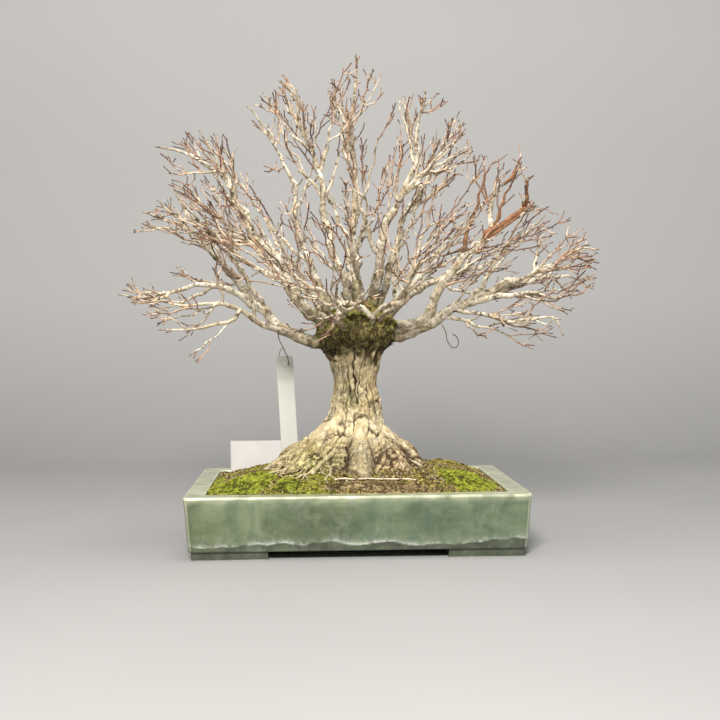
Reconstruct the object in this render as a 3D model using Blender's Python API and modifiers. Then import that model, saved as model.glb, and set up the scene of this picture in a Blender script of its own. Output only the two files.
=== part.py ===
"""Old broom-style bonsai in a shallow glazed pot, with its soil, moss, label and name card.

Metres, +Z up. The origin is the middle of the pot's footprint, on the surface it stands on.
+X runs along the pot's long side, and -Y is the tree's front.
Lengths in this file are written in millimetres and multiplied by MM.
"""

import math
import random

import bmesh
import bpy
from mathutils import Matrix, Vector, noise

MM = 0.001
GAP = 0.4
MERGE = 0.00001

# The pot: outer width and depth at the rim, and the sizes that follow from them.
RIM_WIDTH = 391.3
RIM_DEPTH = 288.1
POT_HEIGHT = 71.3
FOOT_HEIGHT = 9.5
WALL_DRAFT = 9.8
WALL_SWELL = 1.5
WALL = 7.5
LIP_WIDTH = 23.0
LIP_THICKNESS = 5.0
FLOOR = 8.0
CORNER_RADIUS = 8.0
CORNER_STEPS = 4
FOOT_LENGTH = 86.0
FOOT_DEPTH = 62.0
FOOT_THICKNESS = 28.0
FOOT_INSET = 3.9
FOOT_LET_IN = 3.0
DRAIN_RADIUS = 15.0
DRAIN_X = 105.0

# Sizes worked out from those above.
BASE_WIDTH = RIM_WIDTH - WALL_DRAFT
BASE_DEPTH = RIM_DEPTH - WALL_DRAFT
OPENING_WIDTH = RIM_WIDTH - 2 * LIP_WIDTH
OPENING_DEPTH = RIM_DEPTH - 2 * LIP_WIDTH
INNER_WIDTH = RIM_WIDTH - 2 * WALL - WALL_SWELL
INNER_DEPTH = RIM_DEPTH - 2 * WALL - WALL_SWELL
FLOOR_TOP = FOOT_HEIGHT + FLOOR
GRAVEL_TOP = FLOOR_TOP + 9.5
LIP_UNDER = POT_HEIGHT - LIP_THICKNESS

# The soil's mound.
SOIL_EDGE = POT_HEIGHT - 2.3
MOUND = 27.5
LUMP_HEIGHT = 1.6
LUMP_SIZE = 38.0

# The drainage screens and their wires.
SCREEN_HOLE = 6.0
SCREEN_BAR = 2.4
SCREEN_HOLES = 5
SCREEN_THICKNESS = 1.2
SCREEN_PITCH = SCREEN_HOLE + SCREEN_BAR
SCREEN_SIZE = SCREEN_HOLES * SCREEN_PITCH + SCREEN_BAR
CLIP_RADIUS = 0.7
TIE_RADIUS = 1.0

# The label and the card.
LABEL_SIZE = (22.0, 0.8, 148.0)
LABEL_HOLE_RADIUS = 1.6
LABEL_HOLE_DROP = 9.0
LABEL_CORNER = 2.5
LABEL_FOOT = (-78.6, 86.0, 75.0)
LABEL_LEAN = math.radians(-3.0)
CARD_SIZE = (85.0, 0.5, 55.0)
CARD_FOOT = (-116.0, 106.0, 57.0)
CARD_TURN = math.radians(2.0)
CARD_CORNER = 1.5
SLIT_HEIGHT = 45.0

# The trunk's outline: height, middle (x), half width (x) and half depth (y).
TRUNK = [
    (42, -8, 108, 84),
    (58, -10, 116, 92),
    (74, -9, 106, 86),
    (87, -9, 94, 76),
    (95, -6, 87, 70),
    (104, -4, 81, 63),
    (113, -3, 72, 55),
    (122, -2, 60, 48),
    (132, -2, 47, 42),
    (145, 0, 38, 36),
    (158, 3, 33, 32),
    (174, 3, 30, 29),
    (190, 2, 27, 27),
    (207, 2, 30, 29),
    (224, 1, 34, 33),
    (238, 0, 43, 40),
    (252, 4, 50, 46),
    (266, 6, 48, 45),
    (278, 5, 38, 37),
    (286, 4, 20, 20),
]
TRUNK_SIDES = 30
TRUNK_LUMPS = 1.6

# Roots at the trunk's foot: direction (degrees from +X), width (degrees), swell (mm).
ROOTS = [
    (12, 17, 9),
    (48, 16, 10),
    (84, 18, 9),
    (120, 15, 10),
    (156, 17, 8),
    (190, 15, 11),
    (222, 14, 10),
    (250, 12, 9),
    (278, 13, 13),
    (308, 14, 10),
    (338, 14, 11),
]

# The limbs: first and last radius, then the points that each one passes through.
LIMBS = {
    "left_low": (10.5, 2.6, [
        (-14, 0, 250), (-40, 2, 244), (-64, 5, 249), (-86, 8, 260), (-108, 12, 281), (-128, 16, 299),
        (-142, 20, 320), (-170, 26, 351), (-198, 32, 379), (-243, 40, 400), (-262, 44, 405)]),
    "left_low_tip": (6.5, 2.0, [
        (-108, 12, 281), (-132, 10, 295), (-166, 8, 313), (-189, 10, 313), (-230, 16, 305),
        (-252, 20, 298), (-289, 22, 301)]),
    "left_under": (5.5, 1.8, [
        (-64, 5, 249), (-98, -8, 258), (-119, -20, 268), (-136, -32, 281), (-158, -44, 288),
        (-196, -60, 286), (-228, -66, 290)]),
    "left_droop": (3.2, 1.5, [
        (-136, -32, 281), (-148, -44, 267), (-170, -56, 262), (-196, -66, 257), (-228, -72, 258)]),
    "left_high": (10.5, 2.4, [
        (-16, -8, 250), (-38, -12, 263), (-55, -16, 280), (-68, -20, 294), (-80, -24, 312),
        (-92, -28, 341), (-101, -32, 357), (-120, -36, 371), (-128, -38, 393), (-138, -40, 408),
        (-145, -42, 432), (-158, -45, 446), (-189, -50, 461), (-232, -54, 473)]),
    "left_high_fork": (5.0, 1.8, [
        (-80, -24, 312), (-98, -36, 330), (-112, -42, 350), (-126, -48, 362), (-150, -54, 370),
        (-182, -60, 374)]),
    "upper_left": (6.8, 2.0, [
        (-18, 8, 262), (-36, 14, 290), (-42, 18, 306), (-52, 22, 337), (-61, 26, 362), (-70, 32, 404),
        (-71, 38, 443), (-86, 44, 470), (-107, 50, 512), (-118, 54, 526)]),
    "top_left": (7.2, 1.8, [
        (-4, -8, 268), (-6, -14, 309), (-26, -20, 351), (-31, -24, 385), (-36, -28, 414),
        (-46, -32, 467), (-59, -36, 486), (-65, -40, 505), (-67, -42, 532), (-87, -46, 552)]),
    "leader": (8.6, 1.6, [
        (4, 8, 268), (6, 12, 300), (5, 14, 325), (3, 14, 388), (3, 12, 438), (3, 8, 478), (1, 5, 512),
        (5, 3, 550), (8, 0, 590)]),
    "top_right": (8.4, 1.8, [
        (16, -4, 262), (26, -8, 300), (33, -14, 348), (42, -20, 384), (54, -26, 413), (65, -30, 432),
        (74, -34, 456), (74, -36, 480), (79, -38, 504), (88, -40, 528)]),
    "top_right_fork": (4.6, 1.8, [
        (54, -26, 413), (78, -40, 437), (98, -50, 452), (126, -60, 463)]),
    "upper_right": (7.4, 1.8, [
        (20, 10, 264), (38, 20, 300), (50, 28, 336), (60, 36, 376), (74, 44, 406), (88, 50, 428),
        (110, 58, 474), (134, 64, 508)]),
    "right_inner": (4.6, 1.6, [
        (34, -10, 264), (64, -20, 292), (67, -26, 311), (78, -34, 345), (84, -40, 373),
        (108, -46, 389)]),
    "right_high": (8.6, 2.2, [
        (48, -6, 256), (87, -14, 270), (101, -20, 296), (115, -26, 321), (129, -32, 337),
        (140, -38, 349), (156, -44, 359), (165, -48, 375), (185, -52, 389), (202, -54, 403),
        (203, -56, 425), (214, -58, 437)]),
    "right_high_fork": (4.0, 1.8, [
        (165, -48, 375), (164, -40, 398), (174, -34, 428), (192, -28, 440), (205, -24, 466)]),
    "right_low": (10.5, 2.4, [
        (22, -2, 250), (56, -5, 252), (77, -8, 260), (98, -14, 268), (120, -20, 281), (141, -26, 288),
        (162, -32, 300), (187, -38, 312), (213, -44, 321), (235, -50, 331), (253, -54, 343),
        (268, -58, 352), (289, -62, 350)]),
    "right_low_mid": (5.0, 1.8, [
        (162, -32, 300), (196, -26, 308), (230, -18, 316), (254, -12, 321), (286, -6, 314)]),
    "right_low_front": (5.0, 1.8, [
        (141, -26, 288), (178, -44, 294), (201, -58, 297), (222, -70, 294), (241, -80, 292),
        (266, -90, 299)]),
    "right_droop": (3.4, 1.4, [
        (120, -20, 281), (150, -40, 276), (172, -55, 270), (190, -66, 264), (210, -78, 269),
        (228, -88, 268), (236, -94, 258), (240, -96, 248)]),
    "right_under": (3.2, 1.4, [
        (98, -14, 268), (121, -20, 269), (140, -26, 266), (163, -32, 258), (190, -38, 246)]),
    "right_back": (7.0, 1.8, [
        (30, 10, 258), (66, 24, 292), (112, 40, 320), (178, 62, 340), (197, 70, 357), (217, 76, 371),
        (240, 84, 390), (262, 92, 402)]),
    "front_arch": (4.0, 1.6, [
        (18, -34, 262), (22, -50, 273), (0, -62, 283), (-30, -78, 292), (-39, -90, 302),
        (-76, -112, 310), (-110, -130, 322)]),
    "front_arch_fork": (2.9, 1.5, [
        (22, -50, 273), (34, -62, 283), (58, -80, 292), (70, -92, 330), (84, -104, 337),
        (104, -118, 350)]),
    "front_left": (6.0, 1.8, [
        (-12, -16, 256), (-36, -50, 284), (-58, -84, 314), (-80, -120, 346), (-98, -152, 380)]),
    "front": (6.0, 1.8, [
        (2, -18, 262), (8, -56, 298), (-2, -92, 340), (10, -126, 382), (6, -160, 420)]),
    "front_right": (6.0, 1.8, [
        (16, -16, 256), (44, -52, 280), (66, -86, 308), (92, -122, 336), (112, -154, 366)]),
    "front_low": (6.4, 1.8, [
        (-2, -18, 252), (-20, -66, 264), (-14, -110, 278), (-26, -158, 292), (-20, -219, 306)]),
    "back_left": (7.4, 1.8, [
        (-12, 14, 254), (-40, 46, 285), (-66, 84, 318), (-92, 122, 352), (-112, 156, 386),
        (-128, 180, 414)]),
    "back": (7.4, 1.8, [
        (2, 16, 260), (6, 54, 296), (-4, 92, 340), (8, 126, 384), (0, 160, 424), (6, 186, 452)]),
    "back_right": (7.4, 1.8, [
        (16, 14, 254), (48, 48, 280), (76, 86, 312), (106, 120, 340), (132, 152, 372),
        (146, 176, 396)]),
    "back_low": (7.0, 1.8, [
        (0, 18, 250), (-14, 64, 262), (-8, 108, 276), (-20, 158, 290), (-14, 219, 304)]),
}

# How the limbs thin towards their ends, and the thinnest shoots that are made.
LIMB_TAPER = 0.9
LIMB_SPACING = 30.0
LEAST_BRANCH = 0.95
LEAST_TWIG = 0.9

# A limb's side branches: the bare first share of it, how far apart they are, their shortest reach,
# their thickness beside the limb's, and the turn round it from each to the next.
BARE_SHARE = 0.34
BRANCH_SPACING = 70.0
LEAST_REACH = 26.0
BRANCH_SLIMMING = (0.38, 0.52)
GOLDEN_TURN = math.radians(137.5)

# How a side branch runs: its stride, how much it zigzags, and its pull outwards and upwards.
BRANCH_STRIDE = 20.0
ZIGZAG = 0.2
OUTWARD_PULL = 0.12
UPWARD_PULL = 0.05
CROWN_EDGE = 0.97

# The dome that the crown fills: half width, half depth and height, above its own base.
CROWN = (289.0, 219.0, 341.0)
CROWN_BASE = 250.0

# Moss cushions: middle, half sizes and thickness.
MOSS = {
    "moss_left_front": (-134, -76, 40, 36, 5.0),
    "moss_root_front": (-80, -98, 13, 15, 4.5),
    "moss_right_front": (132, -72, 33, 38, 5.0),
    "moss_right_back": (126, 46, 30, 32, 4.5),
    "moss_back": (34, 99, 58, 12, 4.0),
    "dry_moss_front": (16, -108.5, 62, 7, 3.0),
}

# The section rings of the mound, as shares of the pot's opening.
MOUND_RINGS = (1.0, 0.93, 0.84, 0.74, 0.63, 0.52, 0.4, 0.27, 0.12)

# Where the roots' swells end on the trunk, over what height they fade, and the hollows between them.
FLARE_TOP = 150.0
FLARE_FADE = 55.0
ROOT_HOLLOW = 4.0

# The dead twig that lies on the soil: its left end, length, bow, radius and height over the mound.
TWIG_START = (-26.0, -97.0)
TWIG_LENGTH = 94.0
TWIG_BOW = 3.0
TWIG_RADIUS = 0.9
TWIG_LIFT = 2.1
TWIG_POINTS = 9


# ---------------------------------------------------------------- helpers


def start_empty():
    for old in list(bpy.data.objects):
        bpy.data.objects.remove(old, do_unlink=True)


def new_collection(name):
    made = bpy.data.collections.new(name)
    bpy.context.scene.collection.children.link(made)
    return made


def make_material(name, colour, roughness, metallic=0.0):
    made = bpy.data.materials.new(name)
    made.use_nodes = True
    shader = made.node_tree.nodes["Principled BSDF"]
    shader.inputs["Base Color"].default_value = (*colour, 1.0)
    shader.inputs["Roughness"].default_value = roughness
    shader.inputs["Metallic"].default_value = metallic
    return made


def add_object(name, mesh, collection, material=None):
    made = bpy.data.objects.new(name, mesh)
    collection.objects.link(made)
    if material:
        mesh.materials.append(material)
    return made


def as_cutter(thing):
    thing.hide_render = True
    thing.display_type = "WIRE"
    return thing


def from_bmesh(name, bm, collection, material=None):
    bmesh.ops.recalc_face_normals(bm, faces=bm.faces)
    mesh = bpy.data.meshes.new(name)
    bm.to_mesh(mesh)
    bm.free()
    return add_object(name, mesh, collection, material)


def shade(thing, angle=35):
    thing.data.shade_smooth()
    thing.data.set_sharp_from_angle(angle=math.radians(angle))


def loft(name, rings, collection, material=None):
    """A closed skin over rings of points in millimetres, all with the same number of points."""
    bm = bmesh.new()
    rows = [[bm.verts.new(Vector(point) * MM) for point in ring] for ring in rings]
    count = len(rings[0])
    for low, high in zip(rows, rows[1:]):
        for i in range(count):
            j = (i + 1) % count
            bm.faces.new((low[i], low[j], high[j], high[i]))
    bm.faces.new(rows[0])
    bm.faces.new(rows[-1])
    bmesh.ops.triangulate(bm, faces=bm.faces, quad_method="FIXED")
    return from_bmesh(name, bm, collection, material)


def rounded_rectangle(width, depth, radius, z):
    points = []
    for corner, (sx, sy) in enumerate([(1, 1), (-1, 1), (-1, -1), (1, -1)]):
        middle_x = sx * (width / 2 - radius)
        middle_y = sy * (depth / 2 - radius)
        for step in range(CORNER_STEPS + 1):
            angle = math.pi / 2 * (corner + step / CORNER_STEPS)
            points.append((middle_x + radius * math.cos(angle), middle_y + radius * math.sin(angle), z))
    return points


def box(name, low, high, collection):
    bm = bmesh.new()
    bmesh.ops.create_cube(bm, size=1.0)
    size = [(b - a) * MM for a, b in zip(low, high)]
    middle = [(b + a) / 2 * MM for a, b in zip(low, high)]
    bmesh.ops.scale(bm, vec=size, verts=bm.verts)
    bmesh.ops.translate(bm, vec=middle, verts=bm.verts)
    return from_bmesh(name, bm, collection)


def cylinder(name, radius, bottom, top, x, y, collection, segments=32):
    bm = bmesh.new()
    size = radius * MM
    tall = (top - bottom) * MM
    bmesh.ops.create_cone(bm, cap_ends=True, segments=segments, radius1=size, radius2=size, depth=tall)
    bmesh.ops.translate(bm, vec=(x * MM, y * MM, (top + bottom) / 2 * MM), verts=bm.verts)
    return from_bmesh(name, bm, collection)


def tube(name, points, radii, collection, material=None, resolution=1):
    """A wire or branch through points in millimetres, as a mesh whose caps are welded on."""
    curve = bpy.data.curves.new(name + "_line", "CURVE")
    curve.dimensions = "3D"
    curve.bevel_depth = MM
    curve.bevel_resolution = resolution
    curve.use_fill_caps = True
    spline = curve.splines.new("POLY")
    spline.points.add(len(points) - 1)
    for target, point, radius in zip(spline.points, points, radii):
        target.co = (*(Vector(point) * MM), 1.0)
        target.radius = radius
    line = add_object(name + "_line", curve, collection)
    bpy.context.view_layer.update()
    graph = bpy.context.evaluated_depsgraph_get()
    mesh = bpy.data.meshes.new_from_object(line.evaluated_get(graph))
    place = line.matrix_world.copy()
    bpy.data.objects.remove(line)
    bm = bmesh.new()
    bm.from_mesh(mesh)
    bmesh.ops.remove_doubles(bm, verts=bm.verts, dist=MERGE)
    made = from_bmesh(name, bm, collection, material)
    made.matrix_world = place
    return made


def smooth_line(points, spacing):
    """Points along a Catmull-Rom curve through the given ones, about spacing apart."""
    nodes = [Vector(point) for point in points]
    ends = [nodes[0] * 2 - nodes[1], *nodes, nodes[-1] * 2 - nodes[-2]]
    line = []
    for a, b, c, d in zip(ends, ends[1:], ends[2:], ends[3:]):
        steps = max(1, round((c - b).length / spacing))
        for step in range(steps):
            t = step / steps
            straight = 2 * b + (c - a) * t
            bend = (2 * a - 5 * b + 4 * c - d) * t**2
            twist = (3 * b - a - 3 * c + d) * t**3
            line.append((straight + bend + twist) / 2)
    line.append(nodes[-1])
    return line


def combine(target, operation, cutters, solver="EXACT"):
    """Applies one Boolean for each cutter, in order, and leaves a plain mesh."""
    for cutter in cutters:
        as_cutter(cutter)
        step = target.modifiers.new("combine", "BOOLEAN")
        step.operation = operation
        step.solver = solver
        step.object = cutter
        bpy.context.view_layer.update()
        graph = bpy.context.evaluated_depsgraph_get()
        mesh = bpy.data.meshes.new_from_object(target.evaluated_get(graph))
        target.modifiers.remove(step)
        target.data = mesh


# ---------------------------------------------------------------- pot and what is under the soil


def make_pot(collection, cutters, material):
    profile = [
        (BASE_WIDTH - 4, BASE_DEPTH - 4, CORNER_RADIUS - 2, FOOT_HEIGHT),
        (BASE_WIDTH, BASE_DEPTH, CORNER_RADIUS, FOOT_HEIGHT + 2),
        (RIM_WIDTH - WALL_SWELL, RIM_DEPTH - WALL_SWELL, CORNER_RADIUS, POT_HEIGHT - 7),
        (RIM_WIDTH, RIM_DEPTH, CORNER_RADIUS, POT_HEIGHT - 2.5),
        (RIM_WIDTH - 2, RIM_DEPTH - 2, CORNER_RADIUS - 1, POT_HEIGHT - 0.5),
        (RIM_WIDTH - 5, RIM_DEPTH - 5, CORNER_RADIUS - 2, POT_HEIGHT),
        (OPENING_WIDTH + 3, OPENING_DEPTH + 3, CORNER_RADIUS, POT_HEIGHT),
        (OPENING_WIDTH, OPENING_DEPTH, CORNER_RADIUS - 1, POT_HEIGHT - 1.3),
        (OPENING_WIDTH, OPENING_DEPTH, CORNER_RADIUS - 1, LIP_UNDER),
        (INNER_WIDTH, INNER_DEPTH, CORNER_RADIUS - 3, LIP_UNDER - 3),
        (INNER_WIDTH - 7, INNER_DEPTH - 7, CORNER_RADIUS - 3, FLOOR_TOP + 4.5),
        (INNER_WIDTH - 15, INNER_DEPTH - 15, CORNER_RADIUS - 4, FLOOR_TOP),
    ]
    pot = loft("pot", [rounded_rectangle(*ring) for ring in profile], collection, material)
    for sx in (-1, 1):
        for sy in (-1, 1):
            combine(pot, "UNION", [make_foot(sx, sy, cutters)])
    drains = []
    for side in (-1, 1):
        drains.append(cylinder(f"drain_{side}", DRAIN_RADIUS, 0, FLOOR_TOP + 5, side * DRAIN_X, 0, cutters))
    combine(pot, "DIFFERENCE", drains)
    pot.data.materials.clear()
    pot.data.materials.append(material)
    shade(pot)
    return pot


def make_foot(sx, sy, cutters):
    """An L-shaped bracket foot at one corner, let into the pot's floor."""
    outer_x = BASE_WIDTH / 2 - FOOT_INSET
    outer_y = BASE_DEPTH / 2 - FOOT_INSET
    outline = [
        (outer_x, outer_y),
        (outer_x - FOOT_LENGTH, outer_y),
        (outer_x - FOOT_LENGTH, outer_y - FOOT_THICKNESS),
        (outer_x - FOOT_THICKNESS, outer_y - FOOT_THICKNESS),
        (outer_x - FOOT_THICKNESS, outer_y - FOOT_DEPTH),
        (outer_x, outer_y - FOOT_DEPTH),
    ]
    rings = [[(sx * x, sy * y, z) for x, y in outline] for z in (0, FOOT_HEIGHT + FOOT_LET_IN)]
    return loft(f"foot_{sx}_{sy}", rings, cutters)


def make_screen(name, x, collection, material):
    """A square of plastic mesh over one drain hole: a plate with a grid of square holes."""
    bm = bmesh.new()
    lines = [-SCREEN_SIZE / 2]
    for _ in range(SCREEN_HOLES):
        lines += [lines[-1] + SCREEN_BAR, lines[-1] + SCREEN_BAR + SCREEN_HOLE]
    lines.append(lines[-1] + SCREEN_BAR)
    z = FLOOR_TOP + GAP
    grid = [[bm.verts.new(Vector((x + a, b, z)) * MM) for a in lines] for b in lines]
    for row in range(len(lines) - 1):
        for column in range(len(lines) - 1):
            if row % 2 == 1 and column % 2 == 1:
                continue
            below = grid[row]
            above = grid[row + 1]
            bm.faces.new((below[column], below[column + 1], above[column + 1], above[column]))
    screen = from_bmesh(name, bm, collection, material)
    thick = screen.modifiers.new("thickness", "SOLIDIFY")
    thick.thickness = SCREEN_THICKNESS * MM
    thick.offset = 1.0
    return screen


def clip_points(x):
    """A wire staple: over the screen, down through it, and bent out under the pot's floor."""
    leg = SCREEN_PITCH + 1.0
    over = FLOOR_TOP + GAP + SCREEN_THICKNESS + GAP + CLIP_RADIUS
    under = FOOT_HEIGHT - GAP - CLIP_RADIUS
    y = SCREEN_PITCH
    return [
        (x - leg - 13, y, under),
        (x - leg - 1, y, under),
        (x - leg, y, under + 1),
        (x - leg, y, over - 1),
        (x - leg + 1, y, over),
        (x + leg - 1, y, over),
        (x + leg, y, over - 1),
        (x + leg, y, under + 1),
        (x + leg + 1, y, under),
        (x + leg + 13, y, under),
    ]


def tie_points(side):
    """A tie wire: a bar under one drain hole, and two legs that rise to hook over the root plate."""
    leg = SCREEN_PITCH + 1.0
    under = FOOT_HEIGHT - GAP - TIE_RADIUS
    y = -SCREEN_PITCH
    route = [
        (DRAIN_X + 4, -46, 81),
        (DRAIN_X + 22, -50, 78),
        (DRAIN_X + 27, -50, 70),
        (DRAIN_X + 26, -46, 46),
        (DRAIN_X + 12, -28, 30),
        (DRAIN_X - leg, y, 23),
        (DRAIN_X - leg, y, under + 1),
        (DRAIN_X - leg + 1, y, under),
        (DRAIN_X + leg - 1, y, under),
        (DRAIN_X + leg, y, under + 1),
        (DRAIN_X + leg, y, 23),
        (DRAIN_X + 26, 4, 32),
        (DRAIN_X + 33, 18, 48),
        (DRAIN_X + 34, 22, 70),
        (DRAIN_X + 28, 22, 78),
        (DRAIN_X + 10, 18, 81),
    ]
    return [(side * x, y, z) for x, y, z in route]


# ---------------------------------------------------------------- soil, gravel and moss


def soil_height(x, y):
    """The mound's height at a point, in millimetres above the table."""
    out = ((abs(x) * 2 / OPENING_WIDTH) ** 3 + (abs(y) * 2 / OPENING_DEPTH) ** 3) ** (1 / 3)
    rise = max(0.0, 1 - out * out) ** 0.8
    lumps = LUMP_HEIGHT * noise.noise(Vector((x, y, 0)) / LUMP_SIZE)
    return SOIL_EDGE + MOUND * rise + lumps * min(1.0, 4 * rise)


def soil_ring(width, depth, radius, z=None, lift=0.0, straight=6):
    """A rounded rectangle with points along its sides, at height z, or on the mound if z is None."""
    corners = rounded_rectangle(width, depth, radius, 0)
    points = []
    for i, (x, y, _) in enumerate(corners):
        points.append((x, y))
        if i % (CORNER_STEPS + 1) == CORNER_STEPS:
            x2, y2, _ = corners[(i + 1) % len(corners)]
            for step in range(1, straight):
                share = step / straight
                points.append((x + (x2 - x) * share, y + (y2 - y) * share))
    return [(x, y, soil_height(x, y) + lift if z is None else z) for x, y in points]


def soil_body(name, lift, collection, material=None):
    top_width = OPENING_WIDTH - 2 * GAP
    top_depth = OPENING_DEPTH - 2 * GAP
    rings = [
        soil_ring(INNER_WIDTH - 7, INNER_DEPTH - 7, 4, GRAVEL_TOP + GAP),
        soil_ring(INNER_WIDTH - 1.2, INNER_DEPTH - 1.2, 4.4, LIP_UNDER - 3.6),
        soil_ring(top_width, top_depth, CORNER_RADIUS - 1, LIP_UNDER - GAP),
    ]
    for share in MOUND_RINGS:
        radius = (CORNER_RADIUS - 1) * share
        rings.append(soil_ring(top_width * share, top_depth * share, radius, None, lift))
    return loft(name, rings, collection, material)


def make_gravel(collection, cutters, material):
    """The coarse layer on the pot's floor, with room for the screens and wires."""
    rings = [
        rounded_rectangle(INNER_WIDTH - 16, INNER_DEPTH - 16, CORNER_RADIUS - 4, FLOOR_TOP + GAP),
        rounded_rectangle(INNER_WIDTH - 8, INNER_DEPTH - 8, CORNER_RADIUS - 3, FLOOR_TOP + 5),
        rounded_rectangle(INNER_WIDTH - 8, INNER_DEPTH - 8, CORNER_RADIUS - 3, GRAVEL_TOP),
    ]
    gravel = loft("drainage_layer", rings, collection, material)
    half = SCREEN_SIZE / 2 + 1
    pockets = []
    for side in (-1, 1):
        x = side * DRAIN_X
        low = (x - half, -half, FLOOR_TOP - 5)
        high = (x + half, half, FLOOR_TOP + 4)
        pockets.append(box(f"screen_pocket_{side}", low, high, cutters))
    combine(gravel, "DIFFERENCE", pockets)
    return gravel


def within(value, limit):
    return max(-limit, min(limit, value))


def make_moss(name, collection, cutters, material, ground, trunk_room):
    """A low cushion with a wavy edge that lies on the soil."""
    x0, y0, half_x, half_y, thickness = MOSS[name]
    seed = x0 * 0.37 + y0 * 0.11
    sides = 28
    rings = []
    for share, rise in [(1.0, -3.0), (1.0, 0.9), (0.93, 0.55), (0.75, 0.8), (0.5, 0.95), (0.22, 1.0)]:
        ring = []
        for i in range(sides):
            angle = 2 * math.pi * i / sides
            wave = 1 + 0.16 * noise.noise(Vector((math.cos(angle) * 1.7, math.sin(angle) * 1.7, seed)))
            x = within(x0 + half_x * share * wave * math.cos(angle), OPENING_WIDTH / 2 - 1)
            y = within(y0 + half_y * share * wave * math.sin(angle), OPENING_DEPTH / 2 - 1)
            z = soil_height(x, y) + (rise if share == 1.0 else rise * thickness)
            ring.append((x, y, z))
        rings.append(ring)
    cushion = loft(name, rings, collection, material)
    combine(cushion, "DIFFERENCE", [ground, trunk_room], "MANIFOLD")
    cushion.data.materials.clear()
    cushion.data.materials.append(material)
    return cushion


# ---------------------------------------------------------------- tree


def trunk_ring(z, middle, half_width, half_depth, room):
    """One section of the trunk: an oval with the roots' swells, fading out above the foot."""
    swell_share = max(0.0, min(1.0, (FLARE_TOP - z) / FLARE_FADE))
    ring = []
    for i in range(TRUNK_SIDES):
        angle = 2 * math.pi * i / TRUNK_SIDES
        degrees = math.degrees(angle)
        swell = -ROOT_HOLLOW
        for direction, width, height in ROOTS:
            off = (degrees - direction + 180) % 360 - 180
            swell += height * math.exp(-((off / width) ** 2) * 1.6)
        lump = TRUNK_LUMPS * noise.noise(Vector((math.cos(angle) * 2, math.sin(angle) * 2, z / 22)))
        extra = swell * swell_share + lump + room
        x = middle + (half_width + extra) * math.cos(angle)
        y = (half_depth + extra) * math.sin(angle)
        ring.append((x, y, z))
    return ring


def trunk_body(name, room, collection, material=None):
    """The trunk from its buried root plate to the head. room makes it fatter, for a cutter."""
    rings = [trunk_ring(*section, room) for section in TRUNK]
    if room:
        rings = [[(x, y, z - room) for x, y, z in rings[0]], *rings[1:]]
    return loft(name, rings, collection, material)


def crown_share(point):
    """How far out in the crown's dome a point is: 1 on its surface."""
    x, y, z = point
    return math.sqrt((x / CROWN[0]) ** 2 + (y / CROWN[1]) ** 2 + ((z - CROWN_BASE) / CROWN[2]) ** 2)


def side_branches(name, line, radii):
    """The route and first radius of each of a limb's side branches, which leave it in turn all round."""
    draw = random.Random(name)
    length = sum((b - a).length for a, b in zip(line, line[1:]))
    count = max(1, round(length / BRANCH_SPACING))
    turn = draw.uniform(0, 2 * math.pi)
    for number in range(count):
        share = BARE_SHARE + 0.6 * (number + draw.uniform(0.1, 0.9)) / count
        at = min(len(line) - 2, int(share * (len(line) - 1)))
        along = (line[at + 1] - line[at]).normalized()
        side = along.orthogonal().normalized()
        side.rotate(Matrix.Rotation(turn, 3, along))
        turn += GOLDEN_TURN + draw.uniform(-0.4, 0.4)
        heading = (along * 0.9 + side * draw.uniform(0.6, 0.9)).normalized()
        reach = draw.uniform(0.45, 0.75) * (length * (1.05 - share)) + LEAST_REACH
        route = wander(line[at], heading, reach, BRANCH_STRIDE, draw)
        yield route, radii[at] * draw.uniform(*BRANCH_SLIMMING)


def wander(start, heading, reach, stride, draw):
    """A zigzag route that bends outwards and a little upwards, and stops at the crown's dome."""
    points = [start.copy()]
    zig = heading.orthogonal().normalized()
    zig.rotate(Matrix.Rotation(draw.uniform(0, 2 * math.pi), 3, heading))
    for number in range(max(2, round(reach / stride))):
        outward = Vector((points[-1].x, points[-1].y, 1.2 * (points[-1].z - CROWN_BASE))).normalized()
        kick = zig * (ZIGZAG if number % 2 else -ZIGZAG)
        rise = Vector((0, 0, UPWARD_PULL))
        heading = (heading + outward * OUTWARD_PULL + kick + rise).normalized()
        step = points[-1] + heading * stride * draw.uniform(0.8, 1.2)
        if crown_share(step) > CROWN_EDGE:
            break
        points.append(step)
    return points


def make_tree(collection, cutters, material):
    tree = trunk_body("tree", 0.0, collection, material)
    tubes = []
    for name, (first, last, points) in LIMBS.items():
        line = smooth_line(points, LIMB_SPACING)
        count = len(line) - 1
        radii = [last + (first - last) * (1 - i / count) ** LIMB_TAPER for i in range(count + 1)]
        tubes.append(tube("limb_" + name, line, radii, cutters))
        for number, (route, radius) in enumerate(side_branches(name, line, radii)):
            if len(route) < 3 or radius < LEAST_BRANCH:
                continue
            shrink = [max(LEAST_TWIG, radius * (1 - 0.6 * i / len(route))) for i in range(len(route))]
            tubes.append(tube(f"branch_{name}_{number}", route, shrink, cutters))
    combine(tree, "UNION", tubes, "MANIFOLD")
    tree.data.materials.clear()
    tree.data.materials.append(material)
    shade(tree, 50)
    return tree


# ---------------------------------------------------------------- label, card and twig


def make_label(collection, cutters, material):
    """A narrow plastic tag with rounded corners and a hole near its top, leaning a little."""
    width, thickness, height = LABEL_SIZE
    outline = [(x, z + height / 2) for x, z, _ in rounded_rectangle(width, height, LABEL_CORNER, 0)]
    rings = [[(x, y, z) for x, z in outline] for y in (-thickness / 2, thickness / 2)]
    label = loft("plant_label", rings, collection, material)
    hole = cylinder("label_hole", LABEL_HOLE_RADIUS, -3, 3, 0, 0, cutters, 16)
    hole.data.transform(Matrix.Rotation(math.pi / 2, 4, "X"))
    hole.data.transform(Matrix.Translation(Vector((0, 0, height - LABEL_HOLE_DROP)) * MM))
    combine(label, "DIFFERENCE", [hole])
    label.data.transform(Matrix.Rotation(LABEL_LEAN, 4, "Y"))
    label.location = Vector(LABEL_FOOT) * MM
    return label


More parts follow.
